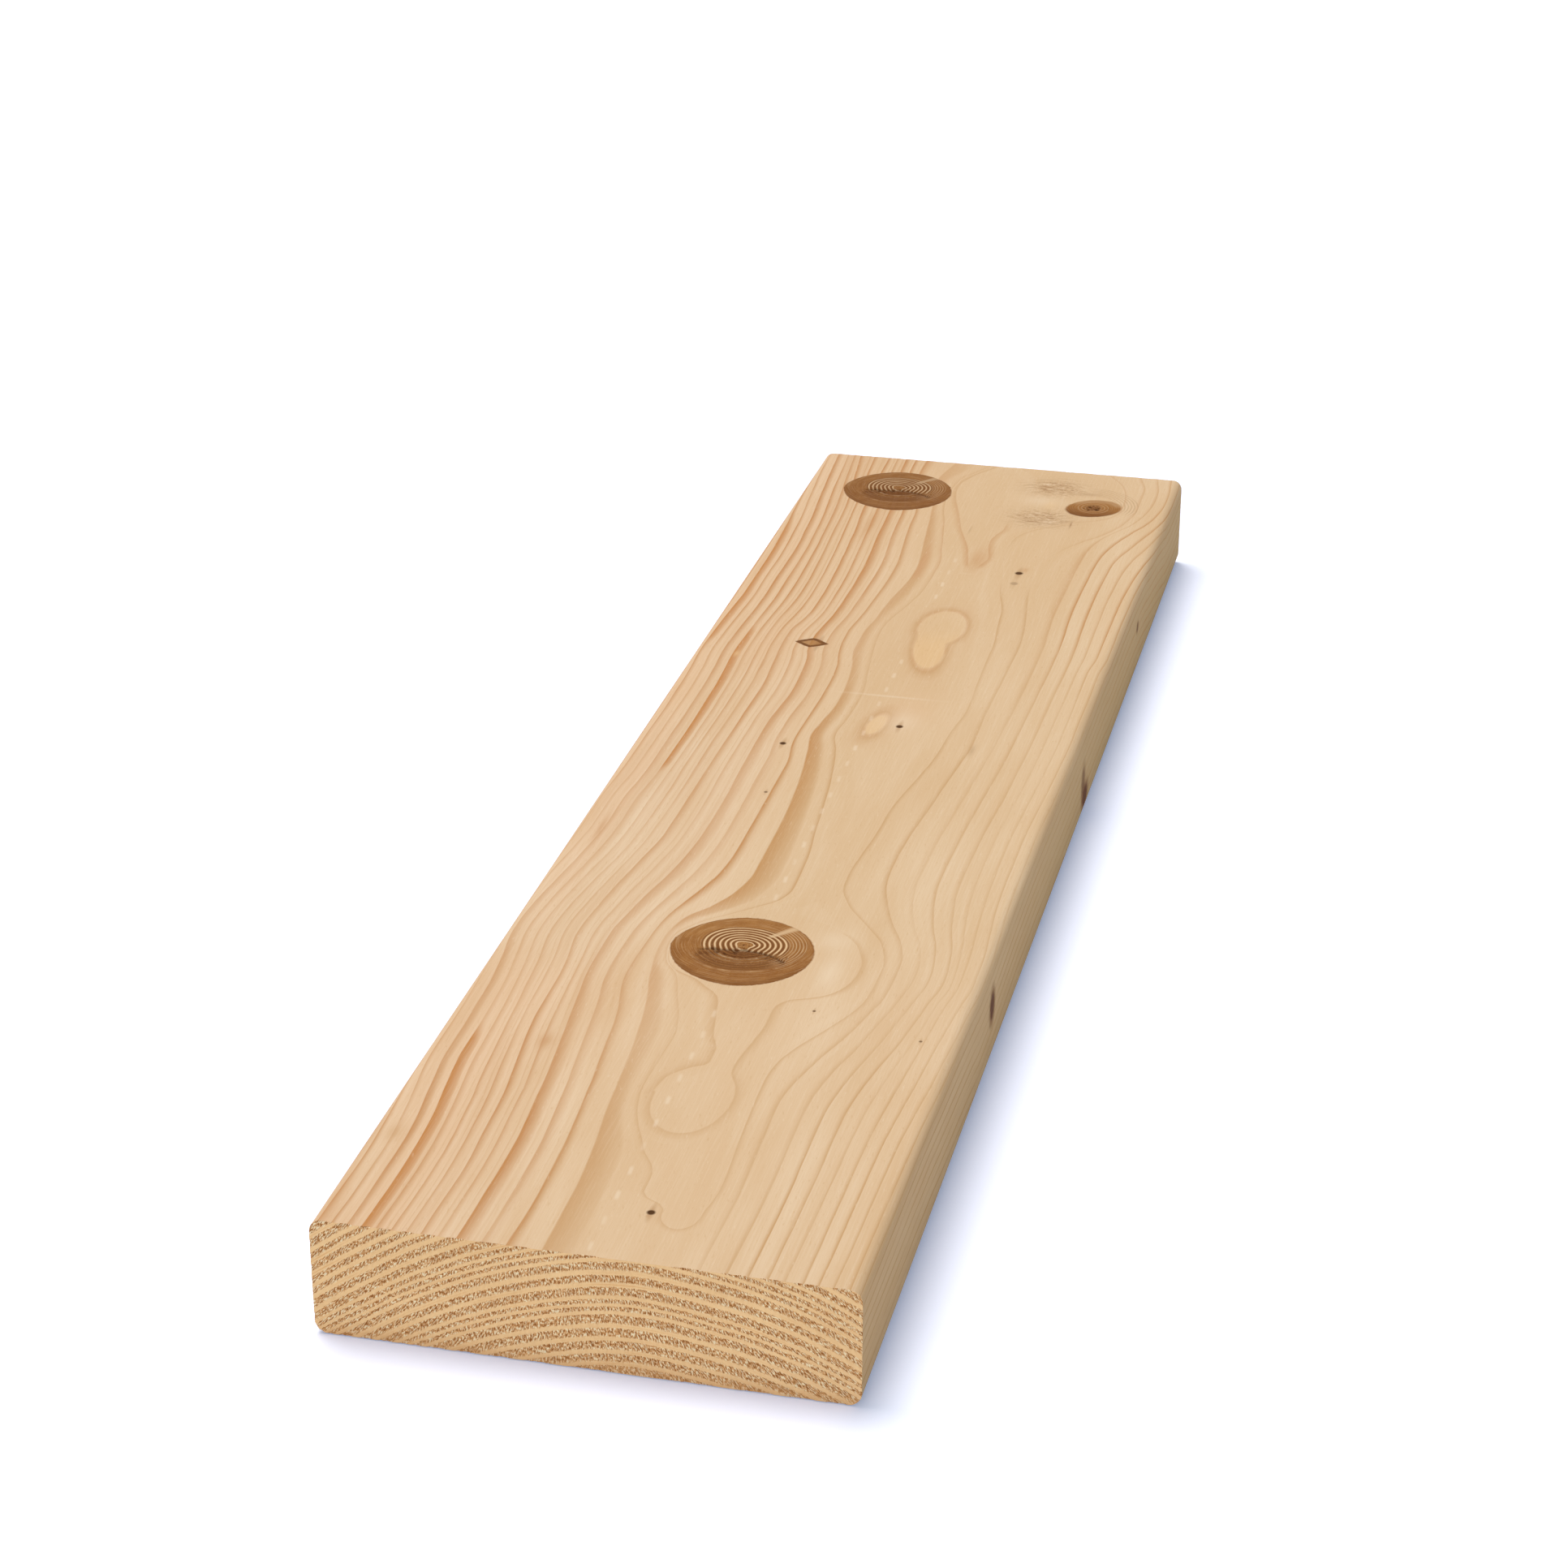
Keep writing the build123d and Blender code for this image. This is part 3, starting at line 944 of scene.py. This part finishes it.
def sawn_end_grain(palette):
    """The finish of the sawn ends: smooth pale latewood, and torn orange-brown earlywood speckled in short
    strokes that lean in towards the middle, with painted highlights on its raised fibres, painted shade in
    its pits, and painted shade towards the foot of each end."""
    finish, tree, shader = new_finish("sawn_end_grain")
    s, t, z = plank_place(tree)
    pit = point_value(tree, "pit")
    ring = point_value(tree, "ring")
    lean = t + (t + 10) * z * 0.009
    place = calculate("FRACT", ring + noise(t / 14, z / 7, s / 400, detail=2.0) * 0.16)
    ragged = place + noise(lean / 0.8, z / 1.0, 0.0, detail=2.0) * 0.34
    torn = rise(ragged, SMOOTH_SHARE - 0.02, SMOOTH_SHARE + 0.08) * (1 - rise(ragged, 0.93, 1.0))
    speckle = noise(lean / 0.62, z / 1.35, 2.0, detail=2.0, roughness=0.6)
    grit = noise(lean / 1.3, z / 2.4, 12.0, detail=2.0, roughness=0.6)
    patch = noise(t / 26, z / 12, 20.0, detail=2.0)
    base = Coat(palette, "end_cream")
    base.lay("end_tan", share(0.35 + grit * 1.2 + patch))
    chance = noise(t / 40, calculate("FLOOR", ring) * 7, 1.0)
    base.lay("end_orange", window(place, 0.12, 0.17, 0.04) * share(chance * 4 + 0.1) * 0.75)
    rough = Coat(palette, "end_orange")
    # Painted highlights on the raised fibres and painted shade in the pits: the speckle that raises the bump
    # also lightens and darkens the colour.
    rough.lay("end_fuzz", ease(speckle, 0.0, 0.1))
    rough.lay("end_pit", ease(-speckle, 0.0, 0.11) * 0.95)
    rough.lay("end_tan", share(grit * 2.2 + patch * 0.6) * 0.5)
    # Painted shade, darkest where the torn-out pits of the mesh lie deepest.
    rough.lay("end_pit", ease(pit, 0.5, 0.95) * 0.35)
    base.lay(rough, torn)
    # Painted shade: the end darkens towards its foot near the floor.
    base.lay("end_orange", (1 - ease(z, 0.5, 6)) * 0.34)
    dress(tree, shader, base, 0.75 + torn * 0.15, (torn * 1.6 + 0.1) * speckle, 0.8, 0.3)
    return finish


def evenly(first, last, step):
    """Numbers from first to last, as near to a step apart as fits a whole number of steps."""
    return np.linspace(first, last, int(round(abs(last - first) / step)) + 1)


def section_sides(radius, flat_step, arc_steps):
    """The rounded section as four sides, bottom, right with its arcs, top and left: arrays of (t, z)
    without their last points."""
    half = WIDTH / 2
    flat = evenly(radius - half, half - radius, flat_step)
    rise_z = evenly(radius, THICKNESS - radius, flat_step)
    turn = np.linspace(0, math.pi / 2, arc_steps + 1)
    arc_t = half - radius + radius * np.sin(turn)
    drop = radius * (1 - np.cos(turn))
    right_t = np.concatenate([arc_t, np.full(len(rise_z) - 2, half), arc_t[::-1]])
    right_z = np.concatenate([drop, rise_z[1:-1], THICKNESS - drop[::-1]])
    sides = ((flat, np.zeros(len(flat))), (right_t, right_z), (flat[::-1], np.full(len(flat), THICKNESS)),
             (-right_t, THICKNESS - right_z))
    return [np.stack(side, -1)[:-1] for side in sides]


def rim_places(sides):
    """How far round a closed rim each point lies, from 0 to 4: its side's number plus the share of it."""
    places = []
    for number, side in enumerate(sides):
        after = np.concatenate([side, sides[(number + 1) % 4][:1]])
        run = np.cumsum(np.linalg.norm(np.diff(after, axis=0), axis=1))
        places.append(number + np.concatenate([[0.0], run[:-1]]) / run[-1])
    return np.concatenate(places)


def zip_rims(outer, outer_places, inner, inner_places):
    """Triangles that close the strip between two rims. Both are walked at once, and each step goes to
    whichever next point comes first on the way round."""
    ends = np.concatenate([outer_places[1:], [4.0], inner_places[1:], [4.0]])
    order = np.argsort(ends, kind="stable")
    on_outer = order < len(outer)
    outer_at = np.cumsum(on_outer) - on_outer
    inner_at = np.cumsum(~on_outer) - ~on_outer
    outer_next = outer[(outer_at + 1) % len(outer)]
    inner_next = inner[(inner_at + 1) % len(inner)]
    third = np.where(on_outer, outer_next, inner_next)
    return np.stack([outer[outer_at % len(outer)], third, inner[inner_at % len(inner)]], -1)


def grid_faces(numbers):
    """The four-sided faces of a grid of point numbers."""
    corners = [numbers[:-1, :-1], numbers[1:, :-1], numbers[1:, 1:], numbers[:-1, 1:]]
    return np.stack(corners, -1).reshape(-1, 4)


def grid_rim(numbers):
    """The point numbers round a grid's border as four sides, each without its last point."""
    return [numbers[0, :-1], numbers[:-1, -1], numbers[-1, :0:-1], numbers[:0:-1, 0]]


def strokes(random, shape, down, across, passes):
    """Seeded noise from 0 to 1 in short strokes, made by averaging it with shifted copies of itself."""
    field = random.random(shape)
    for _ in range(passes):
        field = (field + np.roll(field, (down, across), (0, 1))) / 2
    field = field - field.mean()
    return np.clip(0.5 + field / (4 * field.std()), 0, 1)


def sawn_relief(random, t, z, ring, depth):
    """How deep each point of a sawn end lies: latewood stands up smooth, earlywood is torn out."""
    place = ring % 1.0
    torn = ease_array(place, SMOOTH_SHARE, SMOOTH_SHARE + 0.15) * (1 - ease_array(place, 0.9, 1.0))
    fuzz = strokes(random, t.shape, 1, 0, 2)
    saw = 0.5 + 0.5 * np.sin(t * 0.55 + z * 0.12)
    return torn * (0.18 + 0.82 * fuzz) * depth + saw * 0.03


def valley(distance, reach):
    """A smooth dip of depth 1 at distance 0 that has closed at about two reaches."""
    return np.exp(-(distance / reach) ** 2)


def dips(ds, dt, holes):
    """Small round dips, each at its own place and of its own size."""
    return sum(valley(np.hypot(ds - hole_s, dt - hole_t), size) for hole_s, hole_t, size in holes)


def line_distance(s, t, points):
    """The distance from each (s, t) to a line through the points."""
    best = np.full(s.shape, 1e9)
    for (s0, t0), (s1, t1) in pairwise(points):
        run_s, run_t = s1 - s0, t1 - t0
        along = np.clip(((s - s0) * run_s + (t - t0) * run_t) / (run_s ** 2 + run_t ** 2), 0, 1)
        best = np.minimum(best, np.hypot(s - s0 - along * run_s, t - t0 - along * run_t))
    return best


def large_knot_relief(random, s, t, centre):
    """Depth of a large knot: grooves on its far half, torn pits on its near half, a crack across its pith
    and a faint groove round its rim."""
    ds = s - centre[0]
    dt = t - centre[1]
    px = (ds - LARGE_KNOT_PITH[0]) / LARGE_KNOT_SQUASH[0]
    py = (dt - LARGE_KNOT_PITH[1]) / LARGE_KNOT_SQUASH[1]
    radius = np.hypot(px, py) + 0.3 * np.sin(3 * np.arctan2(py, px) + 1)
    ring = 0.5 + 0.5 * np.sin(radius * math.tau / LARGE_KNOT_RING + LARGE_KNOT_PHASE)
    core = 1 - ease_array(radius, 15.5, 18.5)
    far_half = ease_array(px, -4, 1)
    grooves = core * far_half * (1 - ring) * 0.1
    rough = strokes(random, s.shape, 0, 1, 2)
    crescent = (1 - ease_array(px, -6, -2)) * (1 - ease_array(radius, 15, 20))
    torn = crescent * (0.1 + 0.35 * rough + 0.18 * (1 - ring))
    wander = 0.35 + 0.9 * strokes(random, s.shape, 1, 1, 2)
    crack = valley(line_distance(ds, dt, LARGE_KNOT_CRACK), 0.75 * wander) * 0.9
    deep = dips(ds, dt, LARGE_KNOT_HOLES)
    rim = valley(np.hypot(ds, dt) - LARGE_KNOT_RADIUS, 0.6) * 0.12
    return grooves + torn + crack + deep * 1.1 + rim


def small_knot_relief(random, s, t):
    """Depth of the small knot and the torn grain round it."""
    ds = s - SMALL_KNOT[0]
    dt = t - SMALL_KNOT[1]
    deep = dips(ds, dt, SMALL_KNOT_HOLES)
    rim = valley(np.hypot(ds, dt) - 13.8, 0.6) * 0.1
    rs = s - TORN_CENTRE[0]
    rt = (t - 37) / 1.2
    radius = np.hypot(rs, rt)
    sides = np.exp(-((np.abs(rs) - 24) / 9) ** 2 - ((t - 34) / 11) ** 2)
    broken = strokes(random, s.shape, 1, 0, 3)
    ridge = 0.5 + 0.5 * np.sin(radius * math.tau / 4.1)
    return deep * 1.2 + rim + sides * ridge * broken * 0.25


class Skin:
    """Collects the arrays of one closed mesh: points, pit depths, end rings and faces."""

    def __init__(self):
        self.points = []
        self.pits = []
        self.rings = []
        self.faces = []
        self.count = 0

    def add_points(self, s, t, z, pit, ring=0.0):
        """Adds a whole array of points, and gives back their numbers in the same shape."""
        numbers = np.arange(self.count, self.count + s.size).reshape(s.shape)
        x = (s - LENGTH / 2) * MM
        self.points.append(np.stack([x, -t * MM, z * MM], -1).reshape(-1, 3))
        self.pits.append(np.broadcast_to(pit, s.shape).reshape(-1))
        self.rings.append(np.broadcast_to(ring, s.shape).reshape(-1))
        self.count += s.size
        return numbers

    def add_faces(self, faces, finish):
        """Adds an array of faces that share one finish, by its number."""
        self.faces.append((faces, finish))

    def build(self, title, finishes):
        """Makes the mesh object, with smooth faces, sharp arrises and its two point attributes."""
        corners = np.concatenate([faces.reshape(-1) for faces, _ in self.faces])
        sizes = np.concatenate([np.full(len(faces), faces.shape[1]) for faces, _ in self.faces])
        material = np.concatenate([np.full(len(faces), finish) for faces, finish in self.faces])
        points = np.concatenate(self.points)
        mesh = bpy.data.meshes.new(title)
        mesh.vertices.add(len(points))
        mesh.vertices.foreach_set("co", points.astype(np.float32).reshape(-1))
        mesh.loops.add(len(corners))
        mesh.loops.foreach_set("vertex_index", corners.astype(np.int32))
        mesh.polygons.add(len(sizes))
        mesh.polygons.foreach_set("loop_start", (np.cumsum(sizes) - sizes).astype(np.int32))
        mesh.polygons.foreach_set("material_index", material.astype(np.int32))
        mesh.update(calc_edges=True)
        if mesh.validate():
            raise RuntimeError(f"the mesh of {title} had faces that don't close")
        for name, parts in (("pit", self.pits), ("ring", self.rings)):
            attribute = mesh.attributes.new(name, "FLOAT", "POINT")
            attribute.data.foreach_set("value", np.concatenate(parts).astype(np.float32))
        for finish in finishes:
            mesh.materials.append(finish)
        turn_outwards(mesh)
        mesh.shade_smooth()
        mesh.set_sharp_from_angle(angle=SHARP_ANGLE)
        piece = bpy.data.objects.new(title, mesh)
        bpy.context.scene.collection.objects.link(piece)
        return piece


def turn_outwards(mesh):
    """Turns every face of a closed mesh outwards."""
    work = bmesh.new()
    work.from_mesh(mesh)
    bmesh.ops.recalc_face_normals(work, faces=work.faces)
    work.to_mesh(mesh)
    work.free()


def add_end(skin, sizes, random, s, inwards):
    """One sawn end: a grid whose rows are as wide as the section at their height."""
    tear_depth = sizes.tear_depth / MM
    sides = section_sides(sizes.corner_radius / MM, sizes.end_step / MM, END_ARC_STEPS)
    right = np.concatenate([sides[1], sides[2][:1]])
    across = np.linspace(-1, 1, len(sides[0]) + 1)
    t = right[:, :1] * across[None, :]
    z = np.broadcast_to(right[:, 1:], t.shape)
    ring = end_ring_number(arch_height(t, z))
    depth = sawn_relief(random, t, z, ring, tear_depth)
    numbers = skin.add_points(s + inwards * depth, t, z, depth / tear_depth, ring)
    skin.add_faces(grid_faces(numbers), END_FINISH)
    return np.concatenate(grid_rim(numbers)), rim_places(sides)


def add_body(skin, sizes, s_first, s_last):
    """The four planed faces: the section carried along the length, with openings for the knot patches."""
    step = sizes.body_step / MM
    sides = section_sides(sizes.corner_radius / MM, step, BODY_ARC_STEPS)
    section = np.concatenate(sides)
    stations = evenly(s_first, s_last, step)
    s = np.repeat(stations[:, None], len(section), axis=1)
    t = np.broadcast_to(section[:, 0], s.shape)
    z = np.broadcast_to(section[:, 1], s.shape)
    numbers = skin.add_points(s, t, z, 0.0)
    closed = np.concatenate([numbers, numbers[:, :1]], axis=1)
    faces = grid_faces(closed).reshape(len(stations) - 1, len(section), 4)
    keep = np.ones(faces.shape[:2], bool)
    top_start = len(sides[0]) + len(sides[1])
    top_t = np.concatenate([sides[2], sides[3][:1]])[:, 0]
    openings = []
    for s_low, s_high, t_low, t_high in patch_bounds():
        i0 = np.searchsorted(stations, s_low, "right") - 1
        i1 = np.searchsorted(stations, s_high, "left")
        j0 = np.searchsorted(-top_t, -t_high, "right") - 1
        j1 = np.searchsorted(-top_t, -t_low, "left")
        keep[i0:i1, top_start + j0:top_start + j1] = False
        opening = numbers[i0:i1 + 1, top_start + j0:top_start + j1 + 1]
        openings.append((opening, stations[i0:i1 + 1], top_t[j0:j1 + 1]))
    bottom = np.arange(len(section)) < len(sides[0])
    skin.add_faces(faces[keep & ~bottom], PLAIN_FINISH)
    skin.add_faces(faces[keep & bottom], UNDERSIDE_FINISH)
    return numbers, rim_places(sides), openings


def patch_bounds():
    """The part of the top face round each knot that gets a fine mesh, as s and t limits."""
    reach = LARGE_KNOT_RADIUS + 1.5
    return [(s - reach, s + reach, t - reach, t + reach) for s, t, _ in LARGE_KNOTS] + [SMALL_KNOT_PATCH]


def relief_at(random, s, t, index):
    """The depth of one patch's surface, by its number in patch_bounds."""
    if index < len(LARGE_KNOTS):
        return large_knot_relief(random, s, t, LARGE_KNOTS[index])
    return small_knot_relief(random, s, t)


def add_patch(skin, sizes, random, opening, index):
    """A fine grid in an opening of the top face, its relief sunk below it, and the strip that joins it."""
    numbers, stations, top_t = opening
    margin = 1.2
    fade = 1.5
    step = sizes.knot_step / MM
    s_line = evenly(stations[0] + margin, stations[-1] - margin, step)
    t_line = evenly(top_t[0] - margin, top_t[-1] + margin, step)
    s, t = np.meshgrid(s_line, t_line, indexing="ij")
    depth = relief_at(random, s, t, index)
    fade_s = ease_array(np.minimum(s - s_line[0], s_line[-1] - s), 0, fade)
    fade_t = ease_array(np.minimum(t - t_line[-1], t_line[0] - t), 0, fade)
    depth = depth * fade_s * fade_t
    inner = skin.add_points(s, t, THICKNESS - depth, np.clip(depth, 0, 1))
    finish = FIRST_KNOT_FINISH + index
    skin.add_faces(grid_faces(inner), finish)
    outer_places = rim_places(grid_rim_points(*np.meshgrid(stations, top_t, indexing="ij")))
    inner_places = rim_places(grid_rim_points(s, t))
    outer_rim = np.concatenate(grid_rim(numbers))
    inner_rim = np.concatenate(grid_rim(inner))
    skin.add_faces(zip_rims(outer_rim, outer_places, inner_rim, inner_places), finish)


def grid_rim_points(s, t):
    """The (s, t) points round a grid's border, as four sides."""
    return [np.stack(pair, -1) for pair in zip(grid_rim(s), grid_rim(t))]


def make_skin(sizes, finishes):
    """The whole surface as one closed mesh: two sawn ends, four planed faces and the fine patches."""
    random = np.random.default_rng(SEED)
    skin = Skin()
    near_rim, end_places = add_end(skin, sizes, random, 0.0, 1.0)
    far_rim, _ = add_end(skin, sizes, random, LENGTH, -1.0)
    numbers, body_places, openings = add_body(skin, sizes, END_MARGIN, LENGTH - END_MARGIN)
    for rim, body_rim in ((near_rim, numbers[0]), (far_rim, numbers[-1])):
        skin.add_faces(zip_rims(rim, end_places, body_rim, body_places), PLAIN_FINISH)
    for index, opening in enumerate(openings):
        add_patch(skin, sizes, random, opening, index)
    return skin.build("plank_skin", finishes)


def setting(name, description, default, low, high, **more):
    """A number setting with its limits."""
    return bpy.props.FloatProperty(
        name=name, description=description, default=default, min=low, max=high, **more)


def length_setting(name, description, default, low, high):
    """A length setting, in metres."""
    return setting(name, description, default, low, high, precision=5, unit="LENGTH")


def colour_setting(name, description, default):
    """A colour setting."""
    return bpy.props.FloatVectorProperty(
        name=name, description=description, default=default, size=3, min=0.0, max=1.0, subtype="COLOR")


class PlankSizes(bpy.types.PropertyGroup):
    """Sizes of the skin's relief and of its mesh."""

    corner_radius: length_setting("Corner radius", "Radius of the eased long corners", 0.005, 0.001, 0.02)
    tear_depth: length_setting("Tear depth", "How deep the saw tore the soft earlywood", 0.0005, 0.0, 0.002)
    end_step: length_setting("End mesh", "Spacing of the points on the sawn ends", 0.00075, 0.0004, 0.005)
    knot_step: length_setting("Knot mesh", "Spacing of the points round the knots", 0.00055, 0.0004, 0.005)
    body_step: length_setting("Body mesh", "Spacing of the points on the planed faces", 0.006, 0.002, 0.05)


class PlankColours(bpy.types.PropertyGroup):
    """Colours of the planed faces and of the sawn ends."""

    pale_wood: colour_setting("Pale wood", "Lightest earlywood", (0.75, 0.557, 0.372))
    warm_wood: colour_setting("Warm wood", "Warmer zones of earlywood", (0.67, 0.455, 0.268))
    bleached: colour_setting("Bleached", "Pressed or bleached spots", (0.84, 0.70, 0.53))
    pink_wood: colour_setting("Pink wood", "Pinkish tint of the left-hand third", (0.74, 0.485, 0.30))
    honey_wood: colour_setting("Honey wood", "Resin-yellow tint inside the islands", (0.74, 0.49, 0.25))
    # Side wood also serves as painted shade at the foot of the right-hand edge.
    side_wood: colour_setting("Side wood", "Duller wood on the right-hand edge", (0.57, 0.41, 0.21))
    left_line: colour_setting("Left lines", "Latewood on the left-hand side", (0.50, 0.225, 0.075))
    right_line: colour_setting("Right lines", "Latewood on the right-hand side", (0.52, 0.29, 0.12))
    strong_line: colour_setting("Strong lines", "The broad reddish bands of latewood", (0.51, 0.215, 0.062))
    knot_rim: colour_setting("Knot rim", "Outer wood of a knot", (0.252, 0.097, 0.0235))
    knot_tan: colour_setting("Knot tan", "Lighter wood of a knot", (0.374, 0.171, 0.05))
    knot_dark: colour_setting("Knot dark", "Dark torn wood of a knot", (0.133, 0.046, 0.0125))
    knot_cream: colour_setting("Knot cream", "Pale ridges in a knot", (0.72, 0.50, 0.29))
    pin_knot: colour_setting("Pin knot", "Centre of a pin knot", (0.085, 0.038, 0.014))
    pit: colour_setting("Pit", "Shaded bottom of a crack or pit", (0.055, 0.02, 0.007))
    torn_grain: colour_setting("Torn grain", "Grey-brown torn fibres", (0.37, 0.21, 0.10))
    end_cream: colour_setting("End cream", "Smooth latewood on the ends", (0.95, 0.67, 0.395))
    end_tan: colour_setting("End tan", "Darker latewood on the ends", (0.805, 0.525, 0.285))
    # End orange also serves as painted shade at the foot of the ends.
    end_orange: colour_setting("End orange", "Torn earlywood on the ends", (0.745, 0.41, 0.185))
    # The end fuzz colour is partly painted highlight on raised fibres, and the end pit colour partly painted
    # shade in torn-out pits.
    end_fuzz: colour_setting("End fuzz", "Bright raised fibres on the ends", (0.98, 0.86, 0.64))
    end_pit: colour_setting("End pit", "Torn-out pits on the ends", (0.31, 0.12, 0.037))


class StageLight(bpy.types.PropertyGroup):
    """Strength and size of the studio lights."""

    key_strength: setting("Key", "Strength of the soft key light from above and left", 2.25, 0.0, 10.0)
    key_spread: setting("Key spread", "Apparent size of the key light, which softens its shadow",
                        math.radians(32), 0.0, math.pi, subtype="ANGLE", unit="ROTATION")
    front_strength: setting("Front", "Strength of the low front light on the near end", 1.65, 0.0, 10.0)
    sky_strength: setting("Sky", "Strength of the even light from all round", 0.33, 0.0, 2.0)


class TIMBER_OT_plank(bpy.types.Operator):
    """Make the plank's detailed skin with its planed and sawn finishes, in place of the plain solid"""

    bl_idname = "timber.plank"
    bl_label = "Planed plank"

    def execute(self, context):
        scene = context.scene
        palette = scene.plank_colours
        parts = [*range(len(LARGE_KNOTS)), "small knot", "underside"]
        finishes = [planed_softwood(palette, "plain"), sawn_end_grain(palette)]
        finishes += [planed_softwood(palette, part) for part in parts]
        piece = make_skin(scene.plank_sizes, finishes)
        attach(piece, "root")
        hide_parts("plank")
        return {"FINISHED"}


def add_object(name, data):
    """A new object in the scene that shows this data."""
    holder = bpy.data.objects.new(name, data)
    bpy.context.scene.collection.objects.link(holder)
    return holder


def aim(holder, direction, axis):
    """Turns an object so that one of its axes points along a direction."""
    holder.rotation_mode = "QUATERNION"
    holder.rotation_quaternion = Vector(direction).to_track_quat(axis, "Y")


def add_sun(name, strength, spread, towards):
    """A distant lamp whose light comes from the direction towards, seen from the plank."""
    lamp = bpy.data.lights.new(name, "SUN")
    lamp.energy = strength
    lamp.angle = spread
    aim(add_object(name, lamp), towards, "Z")


def add_floor():
    """A wide flat floor. The camera sees its colour lifted to white, with the shadow's bluish tint kept."""
    half = 6.0
    mesh = bpy.data.meshes.new("studio_floor")
    corners = np.array([(-half, -half), (half, -half), (half, half), (-half, half)])
    points = np.column_stack([corners, np.full(4, PLANK_LOW.z - FLOOR_GAP)])
    mesh.from_pydata(points.tolist(), [], [(0, 1, 2, 3)])
    floor = add_object("studio_floor", mesh)
    paper = bpy.data.materials.new("studio_paper")
    tree = clear_tree(paper)
    shadowed = add_node(tree, "BsdfDiffuse", (0.98, 0.96, 1.0, 1.0))
    lift = add_node(tree, "Emission", (0.07, 0.145, 0.28, 1.0))
    seen = add_node(tree, "AddShader", shadowed.outputs[0], lift.outputs[0])
    plain = add_node(tree, "BsdfDiffuse", (0.70, 0.68, 0.58, 1.0))
    mix = add_node(tree, "MixShader", sight_rays(tree), plain.outputs[0], seen.outputs[0])
    add_node(tree, "OutputMaterial", mix.outputs[0])
    mesh.materials.append(paper)


def sight_rays(tree):
    """1 for rays from the camera, in reflections and through glass, and 0 for rays that light the object."""
    path = tree.nodes.new("ShaderNodeLightPath")
    camera, glossy, through = (Field(tree, path.outputs[f"Is {kind} Ray"]) for kind in
                               ("Camera", "Glossy", "Transmission"))
    return share(camera + glossy + through)


def set_world(strength):
    """An even pale sky that the camera sees as white."""
    world = bpy.data.worlds.new("studio_sky")
    tree = clear_tree(world)
    sky = add_node(tree, "Background", (1.0, 0.98, 0.93, 1.0), strength)
    white = add_node(tree, "Background", (1.0, 1.0, 1.0, 1.0))
    mix = add_node(tree, "MixShader", sight_rays(tree), sky.outputs[0], white.outputs[0])
    add_node(tree, "OutputWorld", mix.outputs[0])
    bpy.context.scene.world = world


def add_camera():
    """The camera at the picture's own place, looking a little down along the plank from its near left."""
    data = bpy.data.cameras.new("picture_camera")
    data.sensor_width = 36.0
    data.lens = CAMERA_LENS
    data.clip_start = 0.05
    data.clip_end = 50.0
    camera = add_object("picture_camera", data)
    camera.location = CAMERA_PLACE
    aim(camera, CAMERA_VIEW, "-Z")
    bpy.context.scene.camera = camera


class TIMBER_OT_stage(bpy.types.Operator):
    """Set up the pale floor, the soft studio light and the camera"""

    bl_idname = "timber.stage"
    bl_label = "Studio stage"

    def execute(self, context):
        light = context.scene.stage_light
        add_floor()
        set_world(light.sky_strength)
        add_sun("key_light", light.key_strength, light.key_spread, KEY_FROM)
        add_sun("front_light", light.front_strength, FRONT_SPREAD, FRONT_FROM)
        add_camera()
        context.scene.view_settings.view_transform = "Standard"
        return {"FINISHED"}


class TIMBER_PT_sidebar(bpy.types.Panel):
    """Lists the plank's settings and its two operators"""

    bl_idname = "TIMBER_PT_sidebar"
    bl_label = "Planed plank"
    bl_space_type = "VIEW_3D"
    bl_region_type = "UI"
    bl_category = "Timber"

    def draw(self, context):
        scene = context.scene
        for group in (scene.plank_sizes, scene.plank_colours, scene.stage_light):
            box = self.layout.box()
            for name in group.__annotations__:
                box.prop(group, name)
        self.layout.operator(TIMBER_OT_plank.bl_idname)
        self.layout.operator(TIMBER_OT_stage.bl_idname)


CLASSES = (PlankSizes, PlankColours, StageLight, TIMBER_OT_plank, TIMBER_OT_stage, TIMBER_PT_sidebar)


def register():
    """Registers the classes and gives the scene their settings."""
    for cls in CLASSES:
        bpy.utils.register_class(cls)
    bpy.types.Scene.plank_sizes = bpy.props.PointerProperty(type=PlankSizes)
    bpy.types.Scene.plank_colours = bpy.props.PointerProperty(type=PlankColours)
    bpy.types.Scene.stage_light = bpy.props.PointerProperty(type=StageLight)


def unregister():
    """Takes the settings and the classes away again."""
    del bpy.types.Scene.stage_light
    del bpy.types.Scene.plank_colours
    del bpy.types.Scene.plank_sizes
    for cls in reversed(CLASSES):
        bpy.utils.unregister_class(cls)


def main():
    register()
    bpy.ops.timber.plank()
    bpy.ops.timber.stage()


if __name__ == "__main__":
    main()
